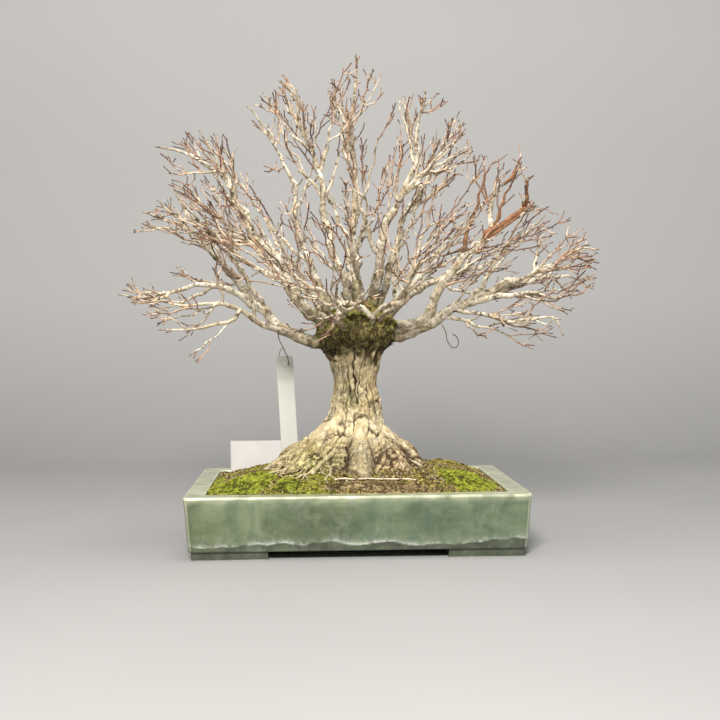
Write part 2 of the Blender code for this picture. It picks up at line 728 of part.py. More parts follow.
def make_card(collection, material):
    """A plain card that stands in the soil on its long edge."""
    width, thickness, height = CARD_SIZE
    outline = [(x, z + height / 2) for x, z, _ in rounded_rectangle(width, height, CARD_CORNER, 0)]
    rings = [[(x, y, z) for x, z in outline] for y in (-thickness / 2, thickness / 2)]
    card = loft("name_card", rings, collection, material)
    card.rotation_euler.z = CARD_TURN
    card.location = Vector(CARD_FOOT) * MM
    return card


def slot_for(name, size, foot, lean, turn, cutters):
    """The slit that a tag or card makes in the soil."""
    width, thickness, _ = size
    side = width / 2 + GAP
    half = thickness / 2 + GAP
    slit = box(name, (-side, -half, -GAP), (side, half, SLIT_HEIGHT), cutters)
    slit.data.transform(Matrix.Rotation(lean, 4, "Y"))
    slit.rotation_euler.z = turn
    slit.location = Vector(foot) * MM
    return slit


def twig_points():
    route = []
    for i in range(TWIG_POINTS):
        share = i / (TWIG_POINTS - 1)
        x = TWIG_START[0] + TWIG_LENGTH * share
        y = TWIG_START[1] + TWIG_BOW * math.sin(math.pi * share)
        route.append((x, y, soil_height(x, y) + TWIG_LIFT))
    return route


# ---------------------------------------------------------------- the object


def build():
    start_empty()
    parts = new_collection("bonsai_tree_in_pot")
    cutters = new_collection("cutters")

    glaze = make_material("celadon_glaze", (0.45, 0.55, 0.45), 0.22)
    bark = make_material("bark", (0.50, 0.42, 0.30), 0.85)
    earth = make_material("soil", (0.12, 0.08, 0.05), 0.95)
    grit = make_material("pumice", (0.62, 0.58, 0.50), 0.95)
    moss = make_material("moss", (0.28, 0.36, 0.06), 0.95)
    dry_moss = make_material("dry_moss", (0.30, 0.24, 0.10), 0.95)
    plastic = make_material("white_plastic", (0.90, 0.90, 0.88), 0.45)
    paper = make_material("card", (0.92, 0.92, 0.90), 0.8)
    screen = make_material("screen_plastic", (0.05, 0.05, 0.05), 0.6)
    wire = make_material("aluminium_wire", (0.72, 0.70, 0.66), 0.4, 1.0)
    dead_wood = make_material("dead_twig", (0.62, 0.52, 0.38), 0.85)

    make_pot(parts, cutters, glaze)
    gravel = make_gravel(parts, cutters, grit)
    make_tree(parts, cutters, bark)
    soil = soil_body("soil", 0.0, parts, earth)
    trunk_room = trunk_body("trunk_room", GAP, cutters)
    combine(soil, "DIFFERENCE", [trunk_room])

    for side, word in ((-1, "left"), (1, "right")):
        make_screen(f"drain_screen_{word}", side * DRAIN_X, parts, screen)
        staple = clip_points(side * DRAIN_X)
        tube(f"screen_clip_{word}", staple, [CLIP_RADIUS] * len(staple), parts, wire)
        route = tie_points(side)
        tube(f"tie_wire_{word}", route, [TIE_RADIUS] * len(route), parts, wire)
        channel = tube(f"tie_channel_{word}", route, [TIE_RADIUS + GAP] * len(route), cutters)
        combine(gravel, "DIFFERENCE", [channel])
        combine(soil, "DIFFERENCE", [channel])

    label_slot = slot_for("label_slot", LABEL_SIZE, LABEL_FOOT, LABEL_LEAN, 0.0, cutters)
    card_slot = slot_for("card_slot", CARD_SIZE, CARD_FOOT, 0.0, CARD_TURN, cutters)
    combine(soil, "DIFFERENCE", [label_slot, card_slot])
    for made, material in ((soil, earth), (gravel, grit)):
        made.data.materials.clear()
        made.data.materials.append(material)

    ground = soil_body("ground", 2 * GAP, cutters)
    for name in MOSS:
        make_moss(name, parts, cutters, dry_moss if name.startswith("dry") else moss, ground, trunk_room)

    make_label(parts, cutters, plastic)
    make_card(parts, paper)
    route = twig_points()
    tube("fallen_twig", route, [TWIG_RADIUS] * len(route), parts, dead_wood)
    for cutter in cutters.objects:
        as_cutter(cutter)


build()
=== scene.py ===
import math
import random

import bpy
import numpy as np
from mathutils import Matrix, Vector, noise
from mathutils.kdtree import KDTree


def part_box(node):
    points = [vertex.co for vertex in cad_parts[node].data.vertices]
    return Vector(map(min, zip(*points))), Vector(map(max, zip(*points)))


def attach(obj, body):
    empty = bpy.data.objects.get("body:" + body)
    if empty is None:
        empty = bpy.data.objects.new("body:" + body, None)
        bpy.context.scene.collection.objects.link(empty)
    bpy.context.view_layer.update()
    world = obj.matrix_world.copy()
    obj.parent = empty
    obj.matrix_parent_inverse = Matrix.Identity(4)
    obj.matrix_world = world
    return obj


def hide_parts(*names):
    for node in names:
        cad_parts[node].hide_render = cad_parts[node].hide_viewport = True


# Looks of the old broom-style bonsai in its glazed pot. Metres, +Z up, -Y is the tree's front.
# Lengths that shape the tree are written in millimetres and multiplied by MM.

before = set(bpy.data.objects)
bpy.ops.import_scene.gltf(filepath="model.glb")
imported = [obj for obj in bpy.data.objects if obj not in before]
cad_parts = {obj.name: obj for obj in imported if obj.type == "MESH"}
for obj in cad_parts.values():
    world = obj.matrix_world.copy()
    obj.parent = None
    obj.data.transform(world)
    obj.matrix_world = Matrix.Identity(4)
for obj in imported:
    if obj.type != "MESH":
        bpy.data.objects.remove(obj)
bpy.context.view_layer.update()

MM = 0.001
SCENE = bpy.context.scene
POT_LOW, POT_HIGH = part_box("pot")
RIM_WIDTH = (POT_HIGH.x - POT_LOW.x) / MM
RIM_DEPTH = (POT_HIGH.y - POT_LOW.y) / MM
POT_HEIGHT = POT_HIGH.z / MM
LIP_WIDTH = 23.0
OPENING_WIDTH = RIM_WIDTH - 2 * LIP_WIDTH
OPENING_DEPTH = RIM_DEPTH - 2 * LIP_WIDTH

# The soil's sides, from its top's edge down: under the lip, then out to the pot's walls and floor.
SOIL_GAP = 0.8
SOIL_COLUMNS, SOIL_ROWS = 330, 236
SOIL_UNDER_LIP = 63.5
SOIL_BOTTOM = 28.5
SOIL_SPREAD = (1.015, 1.02, 0)

# The stage, the lights and the camera, in metres, watts, millimetres of lens and degrees.
STAGE_HALF_WIDTH, STAGE_NEAR, STAGE_FAR, STAGE_HEIGHT = 3.2, -2.2, 1.5, 2.6
STAGE_BEND, STAGE_BEND_STEPS = 0.7, 24
LIGHT_TARGET = (0, 0, 0.26)
LIGHTS = {
    "key": ((-0.28, -1.82, 1.32), (0.6, 0.45), 66, (1.0, 0.975, 0.93)),
    "fill": ((1.7, -1.2, 0.8), (1.2, 1.2), 7, (0.95, 0.97, 1.0)),
    "top": ((0.1, -0.1, 2.1), (1.0, 1.0), 13, (1.0, 0.99, 0.97)),
}
WORLD_COLOUR = (0.84, 0.84, 0.85, 1.0)
WORLD_STRENGTH = 0.28
CAMERA_LENS, CAMERA_SENSOR = 57.7, 36.0
CAMERA_PLACE = (-0.0544, -1.4209, 0.2509)
CAMERA_TURNS = ((-2.54, "Z"), (88.72, "X"), (-0.38, "Z"))


# ---------------------------------------------------------------- meshes


class Skin:
    """Vertices, faces and values of many shapes, gathered into one mesh."""

    def __init__(self):
        self.points = []
        self.quads = []
        self.triangles = []
        self.values = {}
        self.count = 0

    def add(self, points, quads=None, triangles=None, **values):
        points = np.asarray(points, float).reshape(-1, 3)
        for name, value in values.items():
            filled = np.broadcast_to(np.asarray(value, float), (len(points),))
            self.values.setdefault(name, []).append(filled)
        self.points.append(points)
        if quads is not None and len(quads):
            self.quads.append(np.asarray(quads, np.int64) + self.count)
        if triangles is not None and len(triangles):
            self.triangles.append(np.asarray(triangles, np.int64) + self.count)
        self.count += len(points)

    def build(self, name, material, smooth=True, scale=MM):
        points = np.concatenate(self.points) * scale
        quads = np.concatenate(self.quads) if self.quads else np.zeros((0, 4), np.int64)
        triangles = np.concatenate(self.triangles) if self.triangles else np.zeros((0, 3), np.int64)
        mesh = bpy.data.meshes.new(name)
        mesh.vertices.add(len(points))
        mesh.vertices.foreach_set("co", points.astype(np.float32).ravel())
        corners = np.concatenate([quads.ravel(), triangles.ravel()]).astype(np.int32)
        mesh.loops.add(len(corners))
        mesh.loops.foreach_set("vertex_index", corners)
        starts = np.concatenate([np.arange(len(quads)) * 4, len(quads) * 4 + np.arange(len(triangles)) * 3])
        mesh.polygons.add(len(starts))
        mesh.polygons.foreach_set("loop_start", starts.astype(np.int32))
        mesh.update(calc_edges=True)
        mesh.polygons.foreach_set("use_smooth", np.full(len(starts), smooth))
        for key, parts in self.values.items():
            layer = mesh.attributes.new(key, "FLOAT", "POINT")
            layer.data.foreach_set("value", np.concatenate(parts).astype(np.float32))
        mesh.validate()
        mesh.materials.append(material)
        made = bpy.data.objects.new(name, mesh)
        SCENE.collection.objects.link(made)
        return made


def sheet_quads(rows, columns, closed):
    """The quads of a grid of points, rows by columns, closed round its columns or not."""
    wide = columns if closed else columns - 1
    i, j = np.meshgrid(np.arange(rows - 1), np.arange(wide), indexing="ij")
    k = (j + 1) % columns
    quads = np.stack([i * columns + j, i * columns + k, (i + 1) * columns + k, (i + 1) * columns + j], -1)
    return quads.reshape(-1, 4)


def transport(line):
    """Tangent and two side directions at each point of a line, turning as little as they can."""
    ahead = np.gradient(line, axis=0)
    ahead /= np.maximum(np.linalg.norm(ahead, axis=1, keepdims=True), 1e-9)
    seed = np.array([0.0, 0.0, 1.0]) if abs(ahead[0][2]) < 0.9 else np.array([1.0, 0.0, 0.0])
    first = np.cross(ahead[0], seed)
    sides = [first / np.linalg.norm(first)]
    for direction in ahead[1:]:
        side = sides[-1] - direction * np.dot(sides[-1], direction)
        sides.append(side / max(np.linalg.norm(side), 1e-9))
    sides = np.array(sides)
    return ahead, sides, np.cross(ahead, sides)


def tube_points(line, radii, sides):
    """Points round a line, row by row; radii is one value for each point, or one for each point and side."""
    _, across, up = transport(line)
    angle = np.linspace(0, 2 * math.pi, sides, endpoint=False)
    ring = np.cos(angle)[None, :, None] * across[:, None] + np.sin(angle)[None, :, None] * up[:, None]
    radii = np.asarray(radii, float)
    radii = radii[:, None] if radii.ndim == 1 else radii
    return line[:, None] + ring * radii[..., None]


def add_tube(skin, line, radii, sides, **values):
    """A closed tube with a blunt rounded end."""
    line = np.asarray(line, float)
    radii = np.asarray(radii, float)
    count = len(line)
    points = tube_points(line, radii, sides).reshape(-1, 3)
    ahead = line[-1] - line[-2]
    ahead /= max(np.linalg.norm(ahead), 1e-9)
    last = radii[-1] if radii.ndim == 1 else radii[-1].mean()
    points = np.vstack([points, line[0], line[-1] + ahead * last * 0.8])
    j = np.arange(sides)
    k = (j + 1) % sides
    top = (count - 1) * sides
    caps = np.concatenate([
        np.stack([k, j, np.full(sides, count * sides)], -1),
        np.stack([top + j, top + k, np.full(sides, count * sides + 1)], -1),
    ])
    spread = {}
    for name, value in values.items():
        value = np.asarray(value, float)
        if value.ndim == 0:
            spread[name] = value
            continue
        flat = np.repeat(value, sides) if value.ndim == 1 else value.ravel()
        spread[name] = np.concatenate([flat, [flat[0], flat[-1]]])
    skin.add(points, sheet_quads(count, sides, True), caps, **spread)


# ---------------------------------------------------------------- materials


class Nodes:
    """Short names for making a material's nodes."""

    def __init__(self, name):
        self.material = bpy.data.materials.new(name)
        self.material.use_nodes = True
        self.tree = self.material.node_tree
        self.shader = self.tree.nodes["Principled BSDF"]
        self.place = self.tree.nodes.new("ShaderNodeTexCoord").outputs["Object"]

    def link(self, value, socket):
        if isinstance(value, bpy.types.NodeSocket):
            self.tree.links.new(value, socket)
        elif isinstance(value, tuple) and len(value) == 3 and socket.type == "RGBA":
            socket.default_value = (*value, 1.0)
        else:
            socket.default_value = value
        return socket

    def attribute(self, name):
        node = self.tree.nodes.new("ShaderNodeAttribute")
        node.attribute_name = name
        return node.outputs["Fac"]

    def stretch(self, scale, place=None):
        node = self.tree.nodes.new("ShaderNodeMapping")
        self.link(place or self.place, node.inputs["Vector"])
        node.inputs["Scale"].default_value = scale
        return node.outputs["Vector"]

    def noise(self, scale, detail=3.0, rough=0.55, place=None, twist=0.0):
        node = self.tree.nodes.new("ShaderNodeTexNoise")
        self.link(place or self.place, node.inputs["Vector"])
        node.inputs["Scale"].default_value = scale
        node.inputs["Detail"].default_value = detail
        node.inputs["Roughness"].default_value = rough
        node.inputs["Distortion"].default_value = twist
        return node.outputs["Fac"]

    def cells(self, scale, place=None, feature="F1", output="Distance"):
        node = self.tree.nodes.new("ShaderNodeTexVoronoi")
        node.feature = feature
        self.link(place or self.place, node.inputs["Vector"])
        node.inputs["Scale"].default_value = scale
        return node.outputs[output]

    def ramp(self, value, *stops):
        """A value sent through stops of (place, value), or of (place, colour)."""
        node = self.tree.nodes.new("ShaderNodeValToRGB")
        self.link(value, node.inputs["Fac"])
        while len(node.color_ramp.elements) < len(stops):
            node.color_ramp.elements.new(0.5)
        for element, (at, shown) in zip(node.color_ramp.elements, stops):
            element.position = at
            element.color = (*shown, 1.0) if isinstance(shown, tuple) else (shown, shown, shown, 1.0)
        return node.outputs["Color"]

    def mix(self, share, first, second, how="MIX"):
        node = self.tree.nodes.new("ShaderNodeMix")
        node.data_type = "RGBA"
        node.blend_type = how
        self.link(share, node.inputs["Factor"])
        self.link(first, node.inputs[6])
        self.link(second, node.inputs[7])
        return node.outputs[2]

    def math(self, how, first, second=0.0, clamp=False):
        node = self.tree.nodes.new("ShaderNodeMath")
        node.operation = how
        node.use_clamp = clamp
        self.link(first, node.inputs[0])
        self.link(second, node.inputs[1])
        return node.outputs[0]

    def facing_up(self):
        geometry = self.tree.nodes.new("ShaderNodeNewGeometry")
        split = self.tree.nodes.new("ShaderNodeSeparateXYZ")
        self.link(geometry.outputs["Normal"], split.inputs[0])
        return split.outputs["Z"]

    def height(self):
        split = self.tree.nodes.new("ShaderNodeSeparateXYZ")
        self.link(self.place, split.inputs[0])
        return split.outputs["Z"]

    def bump(self, value, distance, strength=1.0):
        node = self.tree.nodes.new("ShaderNodeBump")
        node.inputs["Distance"].default_value = distance
        node.inputs["Strength"].default_value = strength
        self.link(value, node.inputs["Height"])
        self.link(node.outputs["Normal"], self.shader.inputs["Normal"])

    def finish(self, colour, roughness, **constants):
        self.link(colour, self.shader.inputs["Base Color"])
        self.link(roughness, self.shader.inputs["Roughness"])
        for name, value in constants.items():
            self.shader.inputs[name.replace("_", " ")].default_value = value
        return self.material


def shade_and_dirt_below(n, colour, dark, strength):
    """Painted shade, with some dirt: darker where the surface faces down, in uneven patches."""
    below = n.ramp(n.facing_up(), (0.0, strength), (0.42, 0.0))
    share = n.math("MULTIPLY", below, n.ramp(n.noise(110, 3), (0.35, 0.35), (0.6, 1.0)))
    return n.mix(share, colour, dark)


def trunk_material():
    """Tan and cream plates of old bark with cracks darkened by painted shade and their own colour, algae on
    one side, and moss round the head with painted shade where it faces down.
    """
    n = Nodes("trunk_bark_look")
    fine = n.noise(520, 5, 0.7)
    grain = n.noise(190, 5, 0.7, n.stretch((1.0, 1.0, 0.4)))
    patches = n.noise(38, 4, 0.6)
    vein = n.noise(105, 6, 0.72, n.stretch((1.0, 1.0, 0.5)), twist=1.4)
    vein = n.ramp(vein, (0.458, 0.0), (0.49, 1.0), (0.51, 1.0), (0.542, 0.0))
    crumb = n.noise(215, 6, 0.8)
    tan = n.ramp(patches, (0.30, (0.56, 0.40, 0.175)), (0.48, (0.80, 0.63, 0.33)), (0.64, (0.96, 0.84, 0.54)))
    tan = n.mix(n.ramp(n.attribute("tint"), (0.0, 0.0), (1.0, 0.55)), tan, (0.98, 0.88, 0.64))
    tan = n.mix(n.ramp(grain, (0.52, 0.0), (0.60, 0.55)), tan, (0.34, 0.215, 0.085))
    tan = n.mix(n.ramp(fine, (0.53, 0.0), (0.62, 0.6)), tan, (0.98, 0.91, 0.72))
    tan = n.mix(n.math("MULTIPLY", vein, n.ramp(patches, (0.40, 0.0), (0.62, 0.6))), tan,
                (0.115, 0.062, 0.024))
    bare = n.ramp(crumb, (0.43, (0.80, 0.62, 0.36)), (0.49, (0.36, 0.235, 0.105)),
                  (0.55, (0.060, 0.033, 0.013)))
    tan = n.mix(n.attribute("brown"), tan, n.mix(n.math("MULTIPLY", vein, 0.8), bare, (0.060, 0.032, 0.014)))
    algae = n.ramp(crumb, (0.43, (0.70, 0.70, 0.30)), (0.49, (0.27, 0.29, 0.040)),
                   (0.55, (0.050, 0.056, 0.010)))
    colour = n.mix(n.attribute("green"), tan, algae)
    # Painted shade: moss round the head is near-black where it faces down and bright where it faces up.
    moss_in_painted_shade = n.ramp(grain, (0.36, (0.010, 0.009, 0.004)), (0.50, (0.060, 0.052, 0.014)),
                       (0.64, (0.30, 0.26, 0.11)))
    moss = n.mix(n.ramp(n.facing_up(), (0.25, 0.0), (0.75, 1.0)), moss_in_painted_shade,
                 n.mix(n.noise(300, 3), (0.12, 0.11, 0.02), (0.50, 0.46, 0.10)))
    colour = n.mix(n.attribute("moss"), colour, moss)
    # Painted shade, with some dirt, on faces that turn down.
    colour = shade_and_dirt_below(n, colour, (0.10, 0.07, 0.03), 0.55)
    # Painted shade in the cracks, creases and channels, over the bark's own darker fissure colour.
    colour = n.mix(n.attribute("groove"), colour, (0.030, 0.017, 0.008))
    n.bump(n.math("ADD", fine, n.math("MULTIPLY", grain, 0.8)), 0.0012, 0.9)
    return n.finish(colour, n.ramp(fine, (0.3, 0.75), (0.7, 0.95)), Specular_IOR_Level=0.2)


def limb_material():
    """Cream to grey-white bark with dark lichen spots, undersides darkened by painted shade and brown dirt,
    painted shade deep inside the crown, and one smooth reddish branch.
    """
    n = Nodes("limb_bark_look")
    fine = n.noise(650, 5, 0.7)
    blotch = n.noise(230, 5, 0.7)
    patches = n.noise(60, 4, 0.6)
    pale = n.ramp(patches, (0.28, (0.58, 0.44, 0.25)), (0.42, (0.84, 0.74, 0.53)), (0.58, (0.98, 0.92, 0.76)))
    pale = n.mix(n.ramp(fine, (0.52, 0.0), (0.68, 0.6)), pale, (0.93, 0.89, 0.79))
    pale = n.mix(n.ramp(blotch, (0.53, 0.0), (0.58, 0.85)), pale, (0.17, 0.125, 0.060))
    vein = n.ramp(n.noise(150, 6, 0.75, twist=1.2), (0.462, 0.0), (0.5, 1.0), (0.538, 0.0))
    pale = n.mix(n.math("MULTIPLY", vein, n.ramp(patches, (0.40, 0.75), (0.60, 0.1))), pale,
                 (0.13, 0.085, 0.040))
    pale = n.mix(n.ramp(n.attribute("tint"), (0.0, 0.0), (1.0, 0.25)), pale, (0.62, 0.46, 0.31))
    red = n.ramp(blotch, (0.35, (0.46, 0.21, 0.10)), (0.62, (0.20, 0.075, 0.040)))
    colour = n.mix(n.attribute("age"), red, pale)
    moss = n.mix(n.noise(280, 3), (0.085, 0.080, 0.014), (0.42, 0.39, 0.09))
    colour = n.mix(n.attribute("green"), colour, moss)
    # Painted shade, with some dirt, on faces that turn down.
    colour = shade_and_dirt_below(n, colour, (0.16, 0.110, 0.060), 0.6)
    # Dark streaks, the scar's dark middle, and painted shade on limbs deep inside the crown.
    colour = n.mix(n.attribute("groove"), colour, (0.050, 0.032, 0.016))
    colour = n.mix(n.attribute("tip"), colour, (0.10, 0.06, 0.045))
    n.bump(n.math("ADD", fine, n.math("MULTIPLY", blotch, 0.8)), 0.0008, 0.9)
    return n.finish(colour, n.ramp(fine, (0.3, 0.72), (0.7, 0.95)), Specular_IOR_Level=0.2)


def twig_material():
    """Twigs from cream through pinkish brown to dark, each its own shade, with dark ends and nodes."""
    n = Nodes("twig_bark_look")
    fine = n.noise(900, 3, 0.6)
    spots = n.noise(210, 3, 0.65)
    shade = n.attribute("tint")
    colour = n.ramp(shade, (0.0, (0.15, 0.075, 0.050)), (0.24, (0.42, 0.215, 0.130)),
                    (0.50, (0.68, 0.44, 0.27)),
                    (0.9, (0.90, 0.74, 0.53)))
    colour = n.mix(n.attribute("age"), colour, (0.88, 0.78, 0.58))
    colour = n.mix(n.ramp(spots, (0.54, 0.0), (0.66, 0.8)), colour, (0.12, 0.060, 0.042))
    colour = n.mix(n.ramp(fine, (0.56, 0.0), (0.70, 0.4)), colour, (0.88, 0.78, 0.64))
    # Painted shade, with some dirt, on faces that turn down.
    colour = shade_and_dirt_below(n, colour, (0.12, 0.060, 0.040), 0.6)
    colour = n.mix(n.attribute("tip"), colour, (0.045, 0.025, 0.022))
    n.bump(fine, 0.0002, 0.6)
    return n.finish(colour, n.ramp(fine, (0.3, 0.6), (0.7, 0.85)), Specular_IOR_Level=0.3)


def glaze_material():
    """Grey-green celadon: mottled and streaked, cream where it thins over edges plus a painted highlight
    along the rim and corners, paler on the lip's top as painted light, whitish where it crawled.
    """
    n = Nodes("glaze_look")
    wide = n.noise(5, 3, 0.55)
    cloudy = n.noise(13, 5, 0.62, n.stretch((1.0, 1.0, 1.6)), twist=0.8)
    mottle = n.noise(60, 6, 0.7)
    streak = n.noise(30, 4, 0.65, n.stretch((2.4, 2.4, 0.35)))
    fine = n.noise(600, 4, 0.65)
    olive = n.ramp(cloudy, (0.34, (0.070, 0.084, 0.038)), (0.50, (0.120, 0.145, 0.072)),
                   (0.66, (0.185, 0.215, 0.116)))
    teal = n.ramp(cloudy, (0.34, (0.050, 0.080, 0.044)), (0.50, (0.090, 0.132, 0.076)),
                  (0.66, (0.148, 0.192, 0.120)))
    body = n.mix(n.ramp(wide, (0.42, 0.0), (0.58, 0.8)), olive, teal)
    body = n.mix(n.ramp(streak, (0.47, 0.0), (0.64, 0.5)), body, (0.064, 0.104, 0.066))
    body = n.mix(n.ramp(mottle, (0.50, 0.0), (0.66, 0.4)), body, (0.195, 0.215, 0.150))
    body = n.mix(n.ramp(fine, (0.60, 0.0), (0.70, 0.25)), body, (0.34, 0.36, 0.30))
    # Painted light: a paler copy of the glaze for the lip's top, as if lit from above.
    rim = n.ramp(mottle, (0.36, (0.36, 0.39, 0.23)), (0.60, (0.56, 0.58, 0.38)))
    low = n.ramp(mottle, (0.3, (0.022, 0.026, 0.016)), (0.66, (0.085, 0.095, 0.066)))
    colour = n.mix(n.attribute("below"), body, low)
    colour = n.mix(n.attribute("top"), colour, rim)
    # Painted highlight together with the glaze's own thinning: pale cream along the rim's edges and the
    # corners.
    colour = n.mix(n.attribute("edge"), colour,
                   n.ramp(mottle, (0.35, (0.50, 0.54, 0.35)), (0.6, (0.76, 0.77, 0.55))))
    white = n.math("MULTIPLY", n.attribute("crawl"), n.ramp(n.noise(160, 5, 0.7), (0.40, 0.15), (0.58, 1.0)))
    colour = n.mix(white, colour, (0.56, 0.58, 0.52))
    n.bump(n.math("ADD", mottle, n.math("MULTIPLY", fine, 0.25)), 0.0006, 0.4)
    return n.finish(colour, n.ramp(mottle, (0.3, 0.22), (0.7, 0.42)), Specular_IOR_Level=0.5, Coat_Weight=0.3,
                    Coat_Roughness=0.15)


def soil_material():
    """Brown granules and crumbs with olive growth between them."""
    n = Nodes("soil_look")
    grain = n.noise(250, 5, 0.78)
    speck = n.cells(420, output="Color")
    shade = n.noise(60, 4, 0.65)
    brown = n.ramp(grain, (0.40, (0.034, 0.018, 0.007)), (0.49, (0.165, 0.100, 0.038)),
                   (0.57, (0.50, 0.36, 0.17)))
    brown = n.mix(0.22, brown, speck, "SOFT_LIGHT")
    olive = n.ramp(grain, (0.40, (0.036, 0.034, 0.006)), (0.49, (0.16, 0.155, 0.018)),
                   (0.57, (0.50, 0.47, 0.10)))
    colour = n.mix(n.ramp(shade, (0.44, 0.0), (0.62, 0.65)), brown, olive)
    colour = n.mix(n.math("MAXIMUM", n.attribute("green"), 0.0), colour, olive)
    colour = n.mix(n.math("MAXIMUM", n.attribute("pale"), 0.0), colour, (0.66, 0.54, 0.40))
    # Painted shade in the hollows between granules, and random darkness on loose crumbs.
    colour = n.mix(n.math("MAXIMUM", n.attribute("depth"), 0.0), colour, (0.022, 0.014, 0.007))
    n.bump(grain, 0.0015, 0.9)
    return n.finish(colour, n.ramp(grain, (0.3, 0.85), (0.7, 0.98)), Specular_IOR_Level=0.15)


def moss_material(name, dark, mid, light):
    """Moss leaves, dark at the foot, and from dull to bright in patches."""
    n = Nodes(name)
    patch = n.noise(52, 4, 0.65)
    clump = n.noise(210, 4, 0.65)
    leaf = n.mix(n.attribute("tint"), mid, light)
    leaf = n.mix(n.ramp(patch, (0.43, 0.85), (0.53, 0.0)), leaf, tuple(0.30 * value for value in mid))
    leaf = n.mix(n.ramp(clump, (0.52, 0.0), (0.60, 0.85)), leaf, light)
    leaf = n.mix(n.ramp(clump, (0.40, 0.9), (0.48, 0.0)), leaf, (0.085, 0.060, 0.020))
    colour = n.mix(n.ramp(n.attribute("tip"), (0.0, 0.0), (0.8, 1.0)), dark, leaf)
    n.bump(n.noise(900, 2), 0.0003, 0.4)
    return n.finish(colour, n.ramp(clump, (0.3, 0.75), (0.7, 0.95)), Specular_IOR_Level=0.2)


def plain_material(name, low, high, roughness, scale, bump=0.0001, **constants):
    """A near-even surface with slight mottling and fine relief."""
    n = Nodes(name)
    cloud = n.noise(scale, 4, 0.6)
    fine = n.noise(scale * 14, 3, 0.6)
    colour = n.ramp(cloud, (0.3, low), (0.7, high))
    n.bump(fine, bump, 0.5)
    return n.finish(colour, n.ramp(fine, (0.3, roughness - 0.06), (0.7, roughness + 0.06)), **constants)


TRUNK_BARK = trunk_material()
LIMB_BARK = limb_material()
TWIG_BARK = twig_material()
GLAZE = glaze_material()
SOIL = soil_material()


# ---------------------------------------------------------------- the tree's own numbers, as in the CAD

# The trunk's outline: height, middle (x), half width (x) and half depth (y).
TRUNK = [
    (42, -8, 108, 84),
    (58, -10, 116, 92),
    (74, -9, 106, 86),
    (87, -9, 94, 76),
    (95, -6, 87, 70),
    (104, -4, 81, 63),
    (113, -3, 72, 55),
    (122, -2, 60, 48),
    (132, -2, 47, 42),
    (145, 0, 38, 36),
    (158, 3, 33, 32),
    (174, 3, 30, 29),
    (190, 2, 27, 27),
    (207, 2, 30, 29),
    (224, 1, 34, 33),
    (238, 0, 43, 40),
    (252, 4, 50, 46),
    (266, 6, 48, 45),
    (278, 5, 38, 37),
    (286, 4, 20, 20),
]

# Roots at the trunk's foot: direction (degrees from +X), width (degrees), swell (mm).
ROOTS = [
    (12, 17, 9),
    (48, 16, 10),
    (84, 18, 9),
    (120, 15, 10),
    (156, 17, 8),
    (190, 15, 11),
    (222, 14, 10),
    (250, 12, 9),
    (278, 13, 13),
    (308, 14, 10),
    (338, 14, 11),
]

# The dome that the crown fills: half width, half depth and height, above its own base.
CROWN = (289.0, 219.0, 341.0)
CROWN_BASE = 250.0

